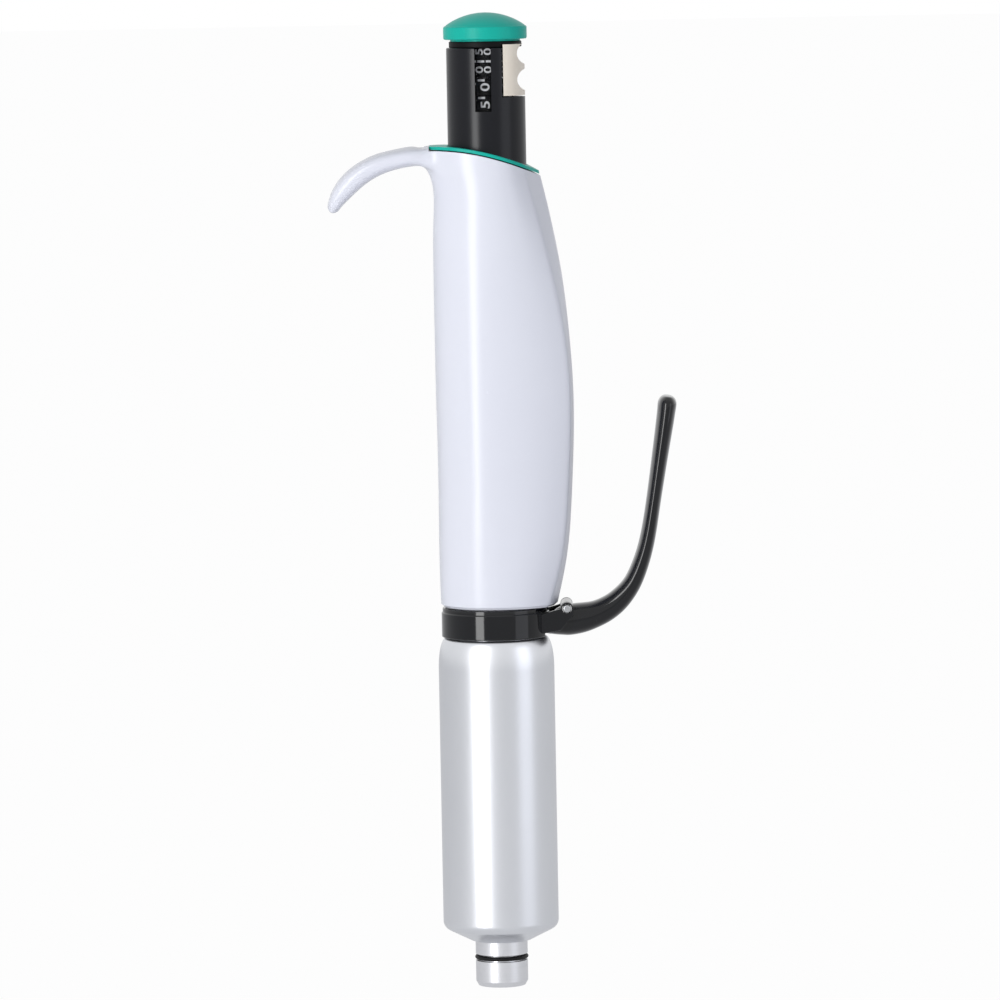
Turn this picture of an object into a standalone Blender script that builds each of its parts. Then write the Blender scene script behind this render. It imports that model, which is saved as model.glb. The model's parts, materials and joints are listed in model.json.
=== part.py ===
"""Single-channel air-displacement pipette for 1 to 5 mL, as separate working pieces.

The pipette stands along +Z. The origin lies on its axis, at the end face of the tip cone. The finger hook
points to -X, the ejector lever to +X, and the counter's window faces -Y. Sizes below are in millimetres.
"""

import math

import bmesh
import bpy
from mathutils import Matrix, Vector

MM = 0.001
GAP = 0.3
FINE_SEGMENTS = 32
COARSE_SEGMENTS = 16
REACH = 60.0
OVER = 5.0
SMALL_FILLET = 0.35
LARGE_FILLET = 1.2

# Stroke and volume
MAX_VOLUME = 5000.0
MIN_VOLUME = 1000.0
BLOWOUT_TRAVEL = 2.4
LOCK_TRAVEL = 0.7

# Tip cone
CONE_R = 6.0
CONE_END_R = 5.3
CONE_CHAMFER = 1.5
CONE_LENGTH = 14.3
CONE_FLANGE_R = 10.8
CONE_FLANGE = 1.4
CONE_BORE_R = 1.6
FILTER_R = 3.9
FILTER_LENGTH = 5.0
O_RING_Z = 6.6
O_RING_WIRE_R = 0.45
O_RING_PROUD = 0.3

# Cylinder, cap and nut
CYLINDER_BORE_R = 10.4
CYLINDER_WALL = 1.4
CYLINDER_FLOOR = 2.0
CYLINDER_LENGTH = 54.0
CAP_SPIGOT = 4.5
CAP_FLANGE = 2.0
CAP_FLANGE_R = 11.4
CAP_SEAL_WIRE_R = 0.5
NECK_R = 6.5
NECK_WALL = 2.0
NECK_THREAD_R = 6.0
NUT_R = 9.0
NUT_HEIGHT = 2.8
CAP_GUIDE = 4.0

# Piston
PISTON_LENGTH = 9.0
PISTON_WALL = 2.0
PISTON_CROWN = 3.0
PISTON_SIDE_GAP = 0.7
PISTON_END_GAP = 1.2
SEAL_WIRE_R = 0.7
ROD_R = 2.5
ROD_SOCKET_R = 1.3
ROD_SOCKET_DEPTH = 4.0
SCREW_R = 1.2
SCREW_HEAD_R = 2.3
SCREW_HEAD = 1.4
SCREW_LENGTH = 8.0

# Ejector sleeve
SLEEVE_R = 13.3
SLEEVE_WALL = 0.95
SLEEVE_NECK_R = 11.0
SLEEVE_HOLE_R = 6.8
SLEEVE_END_Z = 9.8
SLEEVE_CONE = 3.4
SLEEVE_CORNER_R = 1.6
SLEEVE_SHOULDER = 7.0
SLEEVE_SHOULDER_FILLET = 6.0
SLEEVE_KNEE_DROP = 2.45
SLEEVE_KNEE_INSET = 0.55
SLEEVE_TOP_INSET = 1.0
SLEEVE_PLATE = 1.0
SLEEVE_PLATE_HOLE_R = 7.0

# Swivel collar and its bearing
COLLAR_PLAY = 0.4
COLLAR_WALL = 1.0
COLLAR_LIP = 0.9
COLLAR_HEIGHT = 6.6
COLLAR_LIP_INSET = 0.25
COLLAR_EDGE = 0.6
SPIGOT_R = 9.3
RING_THICKNESS = 1.0
COLLAR_SLOT_TOP = 1.2
LUG_ROOT = 1.2
LUG_FOOT = 0.8

# Ejector lever
PIVOT_X = 16.4
PIVOT_BELOW_HANDLE = 0.5
PIN_R = 1.0
PIN_HEAD_R = 1.35
PIN_HEAD = 0.8
HUB_R = 1.7
FORK_IN_R = 7.2
FORK_OUT_R = 9.7
FORK_THICKNESS = 1.8
FORK_STEM_HALF = 4.2
FORK_ROOT = 0.4
FORK_END_X = -1.0
STEM_OVERLAP = 2.0
LEVER_SQUARENESS = 0.55
LEVER_ROOT_HALF = 4.8
LUG_THICKNESS = 1.4

# Handle
HANDLE_BOTTOM = 88.0
HANDLE_TOP = 193.4
HANDLE_WALL = 1.6
HANDLE_FLOOR = 2.7
HANDLE_EDGE = 0.5
DECK_Z = 176.0
TOP_CREST_X = -12.0
TOP_FALL = 0.0107
COVER_THICKNESS = 0.8
COVER_LEFT_X = -13.2
HOOK_HALF_WIDTH = 7.5
HOOK_SQUARENESS = 0.6
CAVITY_ROOF = 1.0
FLANK_SHARE = 0.62
BACK_TAPER = 2.2
HANDLE_EDGE_INSET = 0.2
HANDLE_BRIM_INSET = 0.15
COVER_INSET = 0.15
BUSH_LENGTH = 9.5

# Inner frame and springs
FRAME_WALL = 1.0
FRAME_FLOOR = 2.0
BLOWOUT_SPRING_LENGTH = 9.4
BLOWOUT_WIRE_R = 0.8
BLOWOUT_COIL_R = 6.8
BLOWOUT_PLATE = 2.0
STOP_RING = 1.0
STOP_RING_WIDTH = 1.1
MAIN_WIRE_R = 0.55
MAIN_COIL_R = 6.6
MAIN_TURNS = 11
EJECT_WIRE_R = 0.4
EJECT_COIL_R = 8.9
SPRING_SEAT = 1.0
SPRING_SEAT_HOLE_R = 5.0
CLOSED_PITCH = 2.2
PART_EDGE = 0.3

# Plunger head and counter
BARREL_R = 8.95
BARREL_FLANGE_STEP = 0.55
BARREL_FLANGE = 2.0
DRUM_R = 6.2
DRUM_BORE_R = 4.3
DRUM_HEIGHT = 3.7
DRUM_PITCH = 4.0
FINE_DRUM_HEIGHT = 6.8
FINE_DRUM_WEB = 1.5
FINE_FLANGE_R = 8.3
FINE_FLANGE = 1.1
COUNTER_BOTTOM = 201.0
CARRIER_BORE_R = 4.7
CARRIER_FLANGE = 2.0
CARRIER_ROOM = 2.0
KEYWAY_ROOM = 1.0
SPINDLE_R = 1.9
SPINDLE_JOURNAL_R = 1.0
SPINDLE_IN_BUTTON = 2.6
NUT_TUBE_R = 4.2
NUT_HEAD = 4.0
NUT_WING_R = 5.4
NUT_WING_HALF = 0.9
NUT_WING_ROOT = 0.6
NUT_WING_INSET = 0.2
ROD_TOP = 176.0

# Counter window and volume lock
WINDOW_LEFT_X = -2.5
WINDOW_RIGHT_X = 1.2
WINDOW_SILL = 0.6
LENS_INSET = 0.1
LENS_TOP_INSET = 0.2
LOCK_LEFT_X = 4.0
LOCK_BACK_GAP = 0.1
LOCK_EDGE = 0.4
LOCK_BAY = 11.0
LOCK_REBATE = 1.6
SCALLOP_R = 2.6
SCALLOP_FLOOR_X = 7.2
SCALLOP_PITCH = 6.0
SCALLOP_DROP = 1.5
SCALLOPS = 2

# Push button
BUTTON_R = 9.55
BUTTON_TOP_R = 9.1
BUTTON_RIM = 3.3
BUTTON_DOME = 3.0
BUTTON_EDGE = 0.4
BUTTON_STEP = 0.1
DOME_POWER = 1.15
DOME_STEPS = 5

# Handle stations: height, reach to -X, reach to +X, inset of the rear crease, half depth
HANDLE_STATIONS = [
    (HANDLE_BOTTOM + 1.6, 12.5, 14.5, 2.1, 12.3),
    (100.0, 12.65, 16.8, 1.4, 12.9),
    (112.0, 12.6, 17.95, 1.2, 13.3),
    (124.0, 12.6, 18.8, 1.1, 13.6),
    (137.0, 12.75, 19.1, 1.05, 13.7),
    (151.0, 12.8, 18.3, 1.3, 13.6),
    (164.0, 12.8, 16.8, 2.2, 13.4),
    (175.0, 12.8, 14.7, 2.8, 13.1),
    (184.5, 12.9, 13.0, 3.4, 12.9),
    (188.6, 14.3, 12.2, 3.0, 12.8),
    (191.0, 15.4, 11.8, 3.0, 12.7),
    (196.0, 15.4, 11.2, 3.0, 12.6),
]

# Finger hook stations: x, z, thickness, share of the full half width
HOOK_STATIONS = [
    (-8.0, 191.3, 3.8, 1.0),
    (-13.5, 191.35, 3.9, 1.0),
    (-18.5, 191.2, 3.9, 1.0),
    (-24.1, 189.8, 4.1, 0.97),
    (-29.5, 186.7, 4.4, 0.92),
    (-32.8, 183.8, 4.3, 0.86),
    (-34.9, 180.9, 3.4, 0.76),
    (-35.8, 178.9, 2.0, 0.62),
]

# Ejector lever stations: x, z, thickness, half width
LEVER_STATIONS = [
    (12.8, 83.8, 6.3, 4.8),
    (16.2, 84.0, 6.9, 4.8),
    (19.8, 84.9, 6.9, 4.6),
    (23.0, 86.0, 6.2, 4.4),
    (25.9, 87.4, 5.7, 4.4),
    (28.8, 89.7, 5.1, 4.4),
    (31.7, 93.1, 4.4, 4.5),
    (34.3, 99.6, 4.0, 4.7),
    (35.7, 106.1, 4.2, 5.0),
    (37.3, 114.7, 4.15, 5.4),
    (38.9, 123.4, 4.15, 5.8),
    (40.3, 131.0, 4.25, 6.0),
    (41.0, 134.8, 4.2, 5.8),
]

# Rounded end of a swept piece: shares of its thickness ahead of the last station, and of its section there
ROUND_END = ((0.2, 0.9), (0.34, 0.7), (0.42, 0.4))

# Heights that follow from the sizes above
STROKE = MAX_VOLUME / (math.pi * CYLINDER_BORE_R**2)
NUT_TRAVEL = STROKE * (MAX_VOLUME - MIN_VOLUME) / MAX_VOLUME
CONE_TOP = CONE_LENGTH + CONE_FLANGE
CYLINDER_R = CYLINDER_BORE_R + CYLINDER_WALL
CYLINDER_BOTTOM = CONE_TOP + GAP
BARREL_BORE_R = DRUM_R + GAP
BARREL_FLANGE_R = BARREL_R + BARREL_FLANGE_STEP
FRAME_BORE_R = BARREL_FLANGE_R + GAP
FRAME_R = FRAME_BORE_R + FRAME_WALL
CYLINDER_TOP = CYLINDER_BOTTOM + CYLINDER_LENGTH
CAP_TOP = CYLINDER_TOP + GAP + CAP_FLANGE
PISTON_Z = CYLINDER_BOTTOM + CYLINDER_FLOOR + PISTON_END_GAP + STROKE + BLOWOUT_TRAVEL
PISTON_R = CYLINDER_BORE_R - PISTON_SIDE_GAP
HANDLE_FLOOR_TOP = HANDLE_BOTTOM + GAP
SPIGOT_BOTTOM = HANDLE_FLOOR_TOP - HANDLE_FLOOR
COLLAR_TOP = HANDLE_BOTTOM - GAP
COLLAR_BOTTOM = COLLAR_TOP - COLLAR_HEIGHT
COLLAR_IN_R = SLEEVE_NECK_R + COLLAR_PLAY
COLLAR_R = COLLAR_IN_R + COLLAR_WALL
RING_R = COLLAR_IN_R - COLLAR_PLAY
RING_TOP = COLLAR_TOP - COLLAR_LIP - GAP
FORK_TOP = min(SPIGOT_BOTTOM, RING_TOP - RING_THICKNESS) - GAP
FORK_BOTTOM = FORK_TOP - FORK_THICKNESS
SLEEVE_TOP = FORK_BOTTOM - GAP
SLEEVE_SHOULDER_TOP = COLLAR_BOTTOM - GAP
PIVOT_Z = HANDLE_BOTTOM - PIVOT_BELOW_HANDLE
NUT_BOTTOM = HANDLE_FLOOR_TOP + GAP
NECK_TOP = NUT_BOTTOM + NUT_HEIGHT
FRAME_FLOOR_Z = NECK_TOP + GAP
FRAME_FLOOR_TOP = FRAME_FLOOR_Z + FRAME_FLOOR
BLOWOUT_SPRING_Z = FRAME_FLOOR_TOP + GAP
PLATE_BOTTOM = BLOWOUT_SPRING_Z + BLOWOUT_SPRING_LENGTH + GAP
PLATE_TOP = PLATE_BOTTOM + BLOWOUT_PLATE
STOP_NUT_BOTTOM = PLATE_TOP + GAP + STROKE
BUSH_BOTTOM = DECK_Z + GAP
BARREL_FLANGE_TOP = BUSH_BOTTOM - GAP
BARREL_BOTTOM = BARREL_FLANGE_TOP - BARREL_FLANGE
CARRIER_FLANGE_TOP = BARREL_BOTTOM - GAP
CARRIER_BOTTOM = CARRIER_FLANGE_TOP - CARRIER_FLANGE
SPRING_SEAT_TOP = CARRIER_BOTTOM - GAP
BARREL_HOLE_R = BARREL_R + GAP
LOCK_R = BARREL_R
STOP_NUT_HEAD_Z = ROD_TOP + GAP + NUT_TRAVEL
ONES_Z = COUNTER_BOTTOM + GAP
TENTHS_Z = ONES_Z + DRUM_PITCH
FINE_Z = TENTHS_Z + DRUM_PITCH
BARREL_TOP = FINE_Z + FINE_DRUM_HEIGHT
WINDOW_BOTTOM = COUNTER_BOTTOM + WINDOW_SILL
LOCK_BOTTOM = BARREL_TOP - LOCK_BAY
SCALLOP_TOP_Z = BARREL_TOP - SCALLOP_DROP
FINE_FLANGE_Z = BARREL_TOP + GAP
FINE_TOP = FINE_FLANGE_Z + FINE_FLANGE
BUTTON_BOTTOM = FINE_TOP + GAP
SPINDLE_TOP = BUTTON_BOTTOM + SPINDLE_IN_BUTTON
LOCK_TOP = BUTTON_BOTTOM - GAP - LOCK_TRAVEL


def srgb(hex_colour):
    """Linear colour of an sRGB hex value."""
    channels = [int(hex_colour[i : i + 2], 16) / 255 for i in (1, 3, 5)]
    return [c / 12.92 if c <= 0.04045 else ((c + 0.055) / 1.055) ** 2.4 for c in channels] + [1.0]


def finish(obj, colour, roughness, metallic=0.0):
    """Gives an object its own Principled material."""
    made = bpy.data.materials.new(obj.name)
    made.use_nodes = True
    shader = made.node_tree.nodes["Principled BSDF"]
    shader.inputs["Base Color"].default_value = srgb(colour)
    shader.inputs["Roughness"].default_value = roughness
    shader.inputs["Metallic"].default_value = metallic
    made.diffuse_color = srgb(colour)
    obj.data.materials.clear()
    obj.data.materials.append(made)
    return obj


def start():
    """Empties the scene and makes the two collections."""
    for obj in list(bpy.data.objects):
        bpy.data.objects.remove(obj, do_unlink=True)
    made = []
    for name in ("single_channel_pipette", "cutters"):
        collection = bpy.data.collections.new(name)
        bpy.context.scene.collection.children.link(collection)
        made.append(collection)
    return made


PARTS, CUTTERS = start()


def place(name, mesh, collection=None):
    """Links a mesh as a named object."""
    obj = bpy.data.objects.new(name, mesh)
    (collection or PARTS).objects.link(obj)
    return obj


def fillet(corners):
    """Outline points in order, where a corner given as (r, z, radius) becomes an arc."""
    points = []
    count = len(corners)
    for i, corner in enumerate(corners):
        here = Vector(corner[:2])
        if len(corner) < 3:
            points.append(here)
            continue
        before = (Vector(corners[i - 1][:2]) - here).normalized()
        after = (Vector(corners[(i + 1) % count][:2]) - here).normalized()
        half = before.angle(after) / 2
        reach = corner[2] / math.tan(half)
        centre = here + (before + after).normalized() * corner[2] / math.sin(half)
        first = here + before * reach - centre
        last = here + after * reach - centre
        turn = first.angle_signed(last)
        steps = 1 if corner[2] < SMALL_FILLET else 2 if corner[2] < LARGE_FILLET else 4
        for step in range(steps + 1):
            angle = -turn * step / steps
            spun = Vector((
                first.x * math.cos(angle) - first.y * math.sin(angle),
                first.x * math.sin(angle) + first.y * math.cos(angle),
            ))
            points.append(centre + spun)
    return points


def turned(name, corners, segments=COARSE_SEGMENTS, collection=None, closed=True):
    """Revolves an outline of (radius, height) corners about the axis, down its outer side."""
    points = fillet(corners)
    mesh = bpy.data.meshes.new(name)
    verts = [(p.x * MM, 0, p.y * MM) for p in points]
    edges = [(i, i + 1) for i in range(len(points) - 1)]
    if closed:
        edges.append((len(points) - 1, 0))
    mesh.from_pydata(verts, edges, [])
    obj = place(name, mesh, collection)
    screw = obj.modifiers.new("turn", "SCREW")
    screw.axis = "Z"
    screw.angle = math.tau
    screw.steps = screw.render_steps = segments
    screw.use_merge_vertices = True
    screw.merge_threshold = 0.00001
    return obj


def ring(name, outer, inner, bottom, top, segments=COARSE_SEGMENTS, collection=None, edge=0.0):
    """A flat ring or a plain tube, with its outer corners rounded where edge is given."""
    if edge:
        corners = [(outer, top, edge), (outer, bottom, edge), (inner, bottom), (inner, top)]
    else:
        corners = [(outer, top), (outer, bottom), (inner, bottom), (inner, top)]
    return turned(name, corners, segments, collection)


def disc(name, radius, bottom, top, segments=COARSE_SEGMENTS, collection=None):
    """A solid turned disc."""
    corners = [(0, top), (radius, top), (radius, bottom), (0, bottom)]
    return turned(name, corners, segments, collection, closed=False)


def torus(name, radius, wire, height, segments=COARSE_SEGMENTS):
    """A rubber ring of round section."""
    bpy.ops.mesh.primitive_torus_add(
        major_segments=segments,
        minor_segments=6,
        major_radius=radius * MM,
        minor_radius=wire * MM,
        location=(0, 0, height * MM),
    )
    obj = bpy.context.object
    for collection in list(obj.users_collection):
        collection.objects.unlink(obj)
    PARTS.objects.link(obj)
    obj.name = name
    return obj


def block(name, low, high, collection=None):
    """A box between two corners."""
    mesh = bpy.data.meshes.new(name)
    shape = bmesh.new()
    bmesh.ops.create_cube(shape, size=1.0)
    for vert in shape.verts:
        vert.co = [(a + b) / 2 * MM + c * (b - a) * MM for a, b, c in zip(low, high, vert.co)]
    shape.to_mesh(mesh)
    shape.free()
    return place(name, mesh, collection)


def cross_cylinder(name, radius, x, z, half_length, collection=None, segments=24):
    """A cylinder along Y, such as a pin or the cutter of a finger groove."""
    mesh = bpy.data.meshes.new(name)
    shape = bmesh.new()
    bmesh.ops.create_cone(
        shape,
        cap_ends=True,
        segments=segments,
        radius1=radius * MM,
        radius2=radius * MM,
        depth=2 * half_length * MM,
    )
    for vert in shape.verts:
        vert.co = (vert.co.x + x * MM, -vert.co.z, vert.co.y + z * MM)
    shape.to_mesh(mesh)
    shape.free()
    return place(name, mesh, collection)


def wall_between(name, outline, half_depth, collection=None):
    """A flat outline of (x, z) points, extruded along Y to both sides."""
    mesh = bpy.data.meshes.new(name)
    shape = bmesh.new()
    verts = [shape.verts.new((x * MM, -half_depth * MM, z * MM)) for x, z in outline]
    face = shape.faces.new(verts)
    extruded = bmesh.ops.extrude_face_region(shape, geom=[face])
    moved = [item for item in extruded["geom"] if isinstance(item, bmesh.types.BMVert)]
    bmesh.ops.translate(shape, verts=moved, vec=(0, 2 * half_depth * MM, 0))
    bmesh.ops.recalc_face_normals(shape, faces=shape.faces)
    shape.to_mesh(mesh)
    shape.free()
    return place(name, mesh, collection)


def combine(obj, tool, operation="DIFFERENCE"):
    """Cuts an object with a tool, or joins or intersects the two, and hides the tool."""
    boolean = obj.modifiers.new(tool.name, "BOOLEAN")
    boolean.operation = operation
    boolean.solver = "EXACT"
    boolean.object = tool
    tool.hide_render = True
    tool.display_type = "WIRE"
    return obj


def between(p, q, r, s, t):
    """Value at the share t from q to r on a smooth curve through p, q, r and s."""
    straight = 2 * q + (r - p) * t
    bend = (2 * p - 5 * q + 4 * r - s) * t**2
    twist = (3 * q - p - 3 * r + s) * t**3
    return (straight + bend + twist) / 2


def smooth_rows(rows, steps):
    """Rows of numbers along a smooth curve through the given rows, with this many steps a span."""
    out = []
    last = len(rows) - 1
    for i in range(last):
        four = [rows[min(max(k, 0), last)] for k in (i - 1, i, i + 1, i + 2)]
        for step in range(steps):
            out.append(tuple(between(*values, step / steps) for values in zip(*four)))
    out.append(tuple(rows[last]))
    return out


def loft(name, rings, collection=None):
    """A closed skin over rings with equal numbers of points, with flat ends."""
    mesh = bpy.data.meshes.new(name)
    shape = bmesh.new()
    rows = [[shape.verts.new(Vector(p) * MM) for p in points] for points in rings]
    count = len(rows[0])
    for lower, upper in zip(rows, rows[1:]):
        for i in range(count):
            k = (i + 1) % count
            shape.faces.new((lower[i], lower[k], upper[k], upper[i]))
    shape.faces.new(list(reversed(rows[0])))
    shape.faces.new(rows[-1])
    bmesh.ops.recalc_face_normals(shape, faces=shape.faces)
    shape.to_mesh(mesh)
    shape.free()
    return place(name, mesh, collection)


def handle_section(station, inset=0.0):
    """One level outline of the handle: round in front, full flanks and a narrow back behind a crease."""
    z, left, right, crease, depth = station
    left, right, depth = left - inset, right - inset, depth - inset
    crease_x = right - crease
    crease_y = depth * FLANK_SHARE
    points = []
    front_steps = 7
    for i in range(front_steps + 1):
        angle = math.pi / 2 * i / front_steps
        points.append((-left * math.cos(angle), depth * math.sin(angle)))
    flank_steps = 4
    for i in range(1, flank_steps + 1):
        t = i / flank_steps
        x = 2 * t * (1 - t) * FLANK_SHARE * crease_x + t * t * crease_x
        y = (1 - t) ** 2 * depth + 2 * t * (1 - t) * depth + t * t * crease_y
        points.append((x, y))
    back_steps = 2
    for i in range(1, back_steps + 1):
        t = i / back_steps
        x = (1 - t) ** 2 * crease_x + 2 * t * (1 - t) * right + t * t * right
        y = (1 - t) ** 2 * crease_y + 2 * t * (1 - t) * (crease_y - BACK_TAPER * crease)
        points.append((x, max(y, 0.0)))
    mirrored = [(x, -y) for x, y in reversed(points[1:-1])]
    return [(x, y, z) for x, y in points + mirrored]


def swept_section(centre, along, thickness, half_width, squareness, count=14):
    """A rounded section square to a path that lies in the XZ plane."""
    normal = Vector((-along.z, 0, along.x))
    points = []
    for i in range(count):
        angle = math.tau * i / count
        across = math.copysign(abs(math.cos(angle)) ** squareness, math.cos(angle))
        out = math.copysign(abs(math.sin(angle)) ** squareness, math.sin(angle))
        points.append(centre + normal * out * thickness / 2 + Vector((0, across * half_width, 0)))
    return points


def swept(name, stations, squareness, steps, collection=None):
    """A skin along stations of (x, z, thickness, half width), with a rounded far end."""
    rows = smooth_rows(stations, steps)
    centres = [Vector((x, 0, z)) for x, z, _, _ in rows]
    last = len(rows) - 1
    rings = []
    for i, row in enumerate(rows):
        along = (centres[min(i + 1, last)] - centres[max(i - 1, 0)]).normalized()
        rings.append(swept_section(centres[i], along, row[2], row[3], squareness))
    for ahead, share in ROUND_END:
        point = centres[last] + along * row[2] * ahead
        half_width = row[3] - row[2] * (1 - share) / 2
        rings.append(swept_section(point, along, row[2] * share, half_width, squareness))
    return loft(name, rings, collection)


def coil(name, radius, wire, bottom, top, turns, per_turn=8):
    """A compression spring of round wire, with its two end turns closed up."""
    low, high = bottom + wire, top - wire
    curve = bpy.data.curves.new(name, "CURVE")
    curve.dimensions = "3D"
    curve.bevel_depth = wire * MM
    curve.bevel_resolution = 2
    curve.use_fill_caps = True
    spline = curve.splines.new("POLY")
    count = turns * per_turn
    spline.points.add(count)
    closed = CLOSED_PITCH * wire
    for i in range(count + 1):
        turn = i / per_turn
        if turn < 1:
            height = low + closed * turn
        elif turn > turns - 1:
            height = high - closed * (turns - turn)
        else:
            height = low + closed + (high - low - 2 * closed) * (turn - 1) / (turns - 2)
        angle = math.tau * turn
        spline.points[i].co = (radius * math.cos(angle) * MM, radius * math.sin(angle) * MM, height * MM, 1)
    return place(name, curve)


def top_height(x):
    """Height of the handle's finished top over a point, level on the hook and falling towards +X."""
    return HANDLE_TOP - TOP_FALL * max(x - TOP_CREST_X, 0.0) ** 2


def top_line(low_x, high_x, drop, steps=10):
    """Points along the handle's top, a given depth below it."""
    points = []
    for i in range(steps + 1):
        x = low_x + (high_x - low_x) * i / steps
        points.append((x, top_height(x) - drop))
    return points


def lower_end():
    """Tip cone with its filter and rubber ring, cylinder, cap and nut."""
    floor_r = CONE_R + O_RING_PROUD - 2 * O_RING_WIRE_R - GAP
    half_groove = O_RING_WIRE_R + GAP
    cone = turned("tip_cone", [
        (CONE_FLANGE_R, CONE_TOP),
        (CONE_FLANGE_R, CONE_LENGTH),
        (CONE_R, CONE_LENGTH),
        (CONE_R, O_RING_Z + half_groove),
        (floor_r, O_RING_Z + half_groove),
        (floor_r, O_RING_Z - half_groove),
        (CONE_R, O_RING_Z - half_groove),
        (CONE_R, CONE_CHAMFER, 0.4),
        (CONE_END_R, 0, 0.2),
        (FILTER_R + GAP, 0),
        (FILTER_R + GAP, FILTER_LENGTH + GAP),
        (CONE_BORE_R, FILTER_LENGTH + GAP),
        (CONE_BORE_R, CONE_TOP),
    ], FINE_SEGMENTS)
    finish(cone, "#C3C7CB", 0.3, 1.0)
    finish(disc("tip_filter", FILTER_R, 0, FILTER_LENGTH), "#ECEBE6", 0.9)
    ring_r = CONE_R + O_RING_PROUD - O_RING_WIRE_R
    finish(torus("tip_cone_o_ring", ring_r, O_RING_WIRE_R, O_RING_Z, FINE_SEGMENTS), "#111214", 0.6)

    cylinder = turned("cylinder", [
        (CYLINDER_R, CYLINDER_TOP),
        (CYLINDER_R, CYLINDER_BOTTOM),
        (CONE_BORE_R, CYLINDER_BOTTOM),
        (CONE_BORE_R, CYLINDER_BOTTOM + CYLINDER_FLOOR),
        (CYLINDER_BORE_R, CYLINDER_BOTTOM + CYLINDER_FLOOR),
        (CYLINDER_BORE_R, CYLINDER_TOP),
    ])
    finish(cylinder, "#D9DCDF", 0.35)

    spigot_r = CYLINDER_BORE_R - GAP
    spigot_z = CYLINDER_TOP - CAP_SPIGOT
    seal_z = CYLINDER_TOP - CAP_SPIGOT / 2
    seal_r = spigot_r - CAP_SEAL_WIRE_R
    seal_half = CAP_SEAL_WIRE_R + GAP
    guide_r = ROD_R + GAP
    neck_in_r = NECK_R - NECK_WALL
    cap = turned("cylinder_cap", [
        (NECK_THREAD_R, NECK_TOP),
        (NECK_THREAD_R, SPIGOT_BOTTOM - GAP),
        (NECK_R, SPIGOT_BOTTOM - GAP),
        (NECK_R, CAP_TOP),
        (CAP_FLANGE_R, CAP_TOP),
        (CAP_FLANGE_R, CYLINDER_TOP + GAP),
        (spigot_r, CYLINDER_TOP + GAP),
        (spigot_r, seal_z + seal_half),
        (seal_r - seal_half, seal_z + seal_half),
        (seal_r - seal_half, seal_z - seal_half),
        (spigot_r, seal_z - seal_half),
        (spigot_r, spigot_z),
        (guide_r, spigot_z),
        (guide_r, spigot_z + CAP_GUIDE),
        (neck_in_r, spigot_z + CAP_GUIDE + neck_in_r - guide_r),
        (neck_in_r, NECK_TOP),
    ])
    finish(cap, "#C9CCCE", 0.4)
    finish(torus("cylinder_cap_seal", seal_r, CAP_SEAL_WIRE_R, seal_z), "#1A1A1B", 0.6)
    nut = ring("coupling_nut", NUT_R, NECK_THREAD_R + GAP, NUT_BOTTOM, NECK_TOP, 24, edge=0.4)
    finish(nut, "#B9BCBF", 0.35, 1.0)


def piston_group():
    """Piston with its ring and screw, on the long rod that the plunger pushes."""
    groove_z = PISTON_Z + PISTON_LENGTH / 2
    seal_r = CYLINDER_BORE_R - GAP - SEAL_WIRE_R
    groove_half = SEAL_WIRE_R + GAP
    groove_r = seal_r - SEAL_WIRE_R - GAP
    crown_z = PISTON_Z + PISTON_CROWN
    boss_r = ROD_R + GAP + PISTON_WALL
    head_z = PISTON_Z + SCREW_HEAD
    piston = turned("piston", [
        (PISTON_R, PISTON_Z + PISTON_LENGTH),
        (PISTON_R, groove_z + groove_half),
        (groove_r, groove_z + groove_half),
        (groove_r, groove_z - groove_half),
        (PISTON_R, groove_z - groove_half),
        (PISTON_R, PISTON_Z, 0.4),
        (SCREW_HEAD_R + GAP, PISTON_Z),
        (SCREW_HEAD_R + GAP, head_z),
        (SCREW_R + GAP, head_z),
        (SCREW_R + GAP, crown_z),
        (ROD_R + GAP, crown_z),
        (ROD_R + GAP, PISTON_Z + PISTON_LENGTH),
        (boss_r, PISTON_Z + PISTON_LENGTH),
        (boss_r, crown_z + PISTON_WALL),
        (groove_r - PISTON_WALL, crown_z + PISTON_WALL),
        (groove_r - PISTON_WALL, PISTON_Z + PISTON_LENGTH),
    ])
    finish(piston, "#E4E4DF", 0.35)
    finish(torus("piston_seal", seal_r, SEAL_WIRE_R, groove_z), "#2A2A2C", 0.55)
    screw_top = PISTON_Z + SCREW_LENGTH
    screw = turned("piston_screw", [
        (0, screw_top),
        (SCREW_R, screw_top),
        (SCREW_R, head_z - GAP),
        (SCREW_HEAD_R, head_z - GAP),
        (SCREW_HEAD_R, PISTON_Z),
        (0, PISTON_Z),
    ], 20, closed=False)
    finish(screw, "#B5B8BB", 0.3, 1.0)
    rod_bottom = crown_z + GAP
    rod = turned("plunger_rod", [
        (0, ROD_TOP - ROD_SOCKET_DEPTH),
        (ROD_SOCKET_R, ROD_TOP - ROD_SOCKET_DEPTH),
        (ROD_SOCKET_R, ROD_TOP),
        (ROD_R, ROD_TOP),
        (ROD_R, rod_bottom),
        (SCREW_R + GAP, rod_bottom),
        (SCREW_R + GAP, screw_top + GAP),
        (0, screw_top + GAP),
    ], 20, closed=False)
    finish(rod, "#C6C9CC", 0.25, 1.0)


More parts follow.
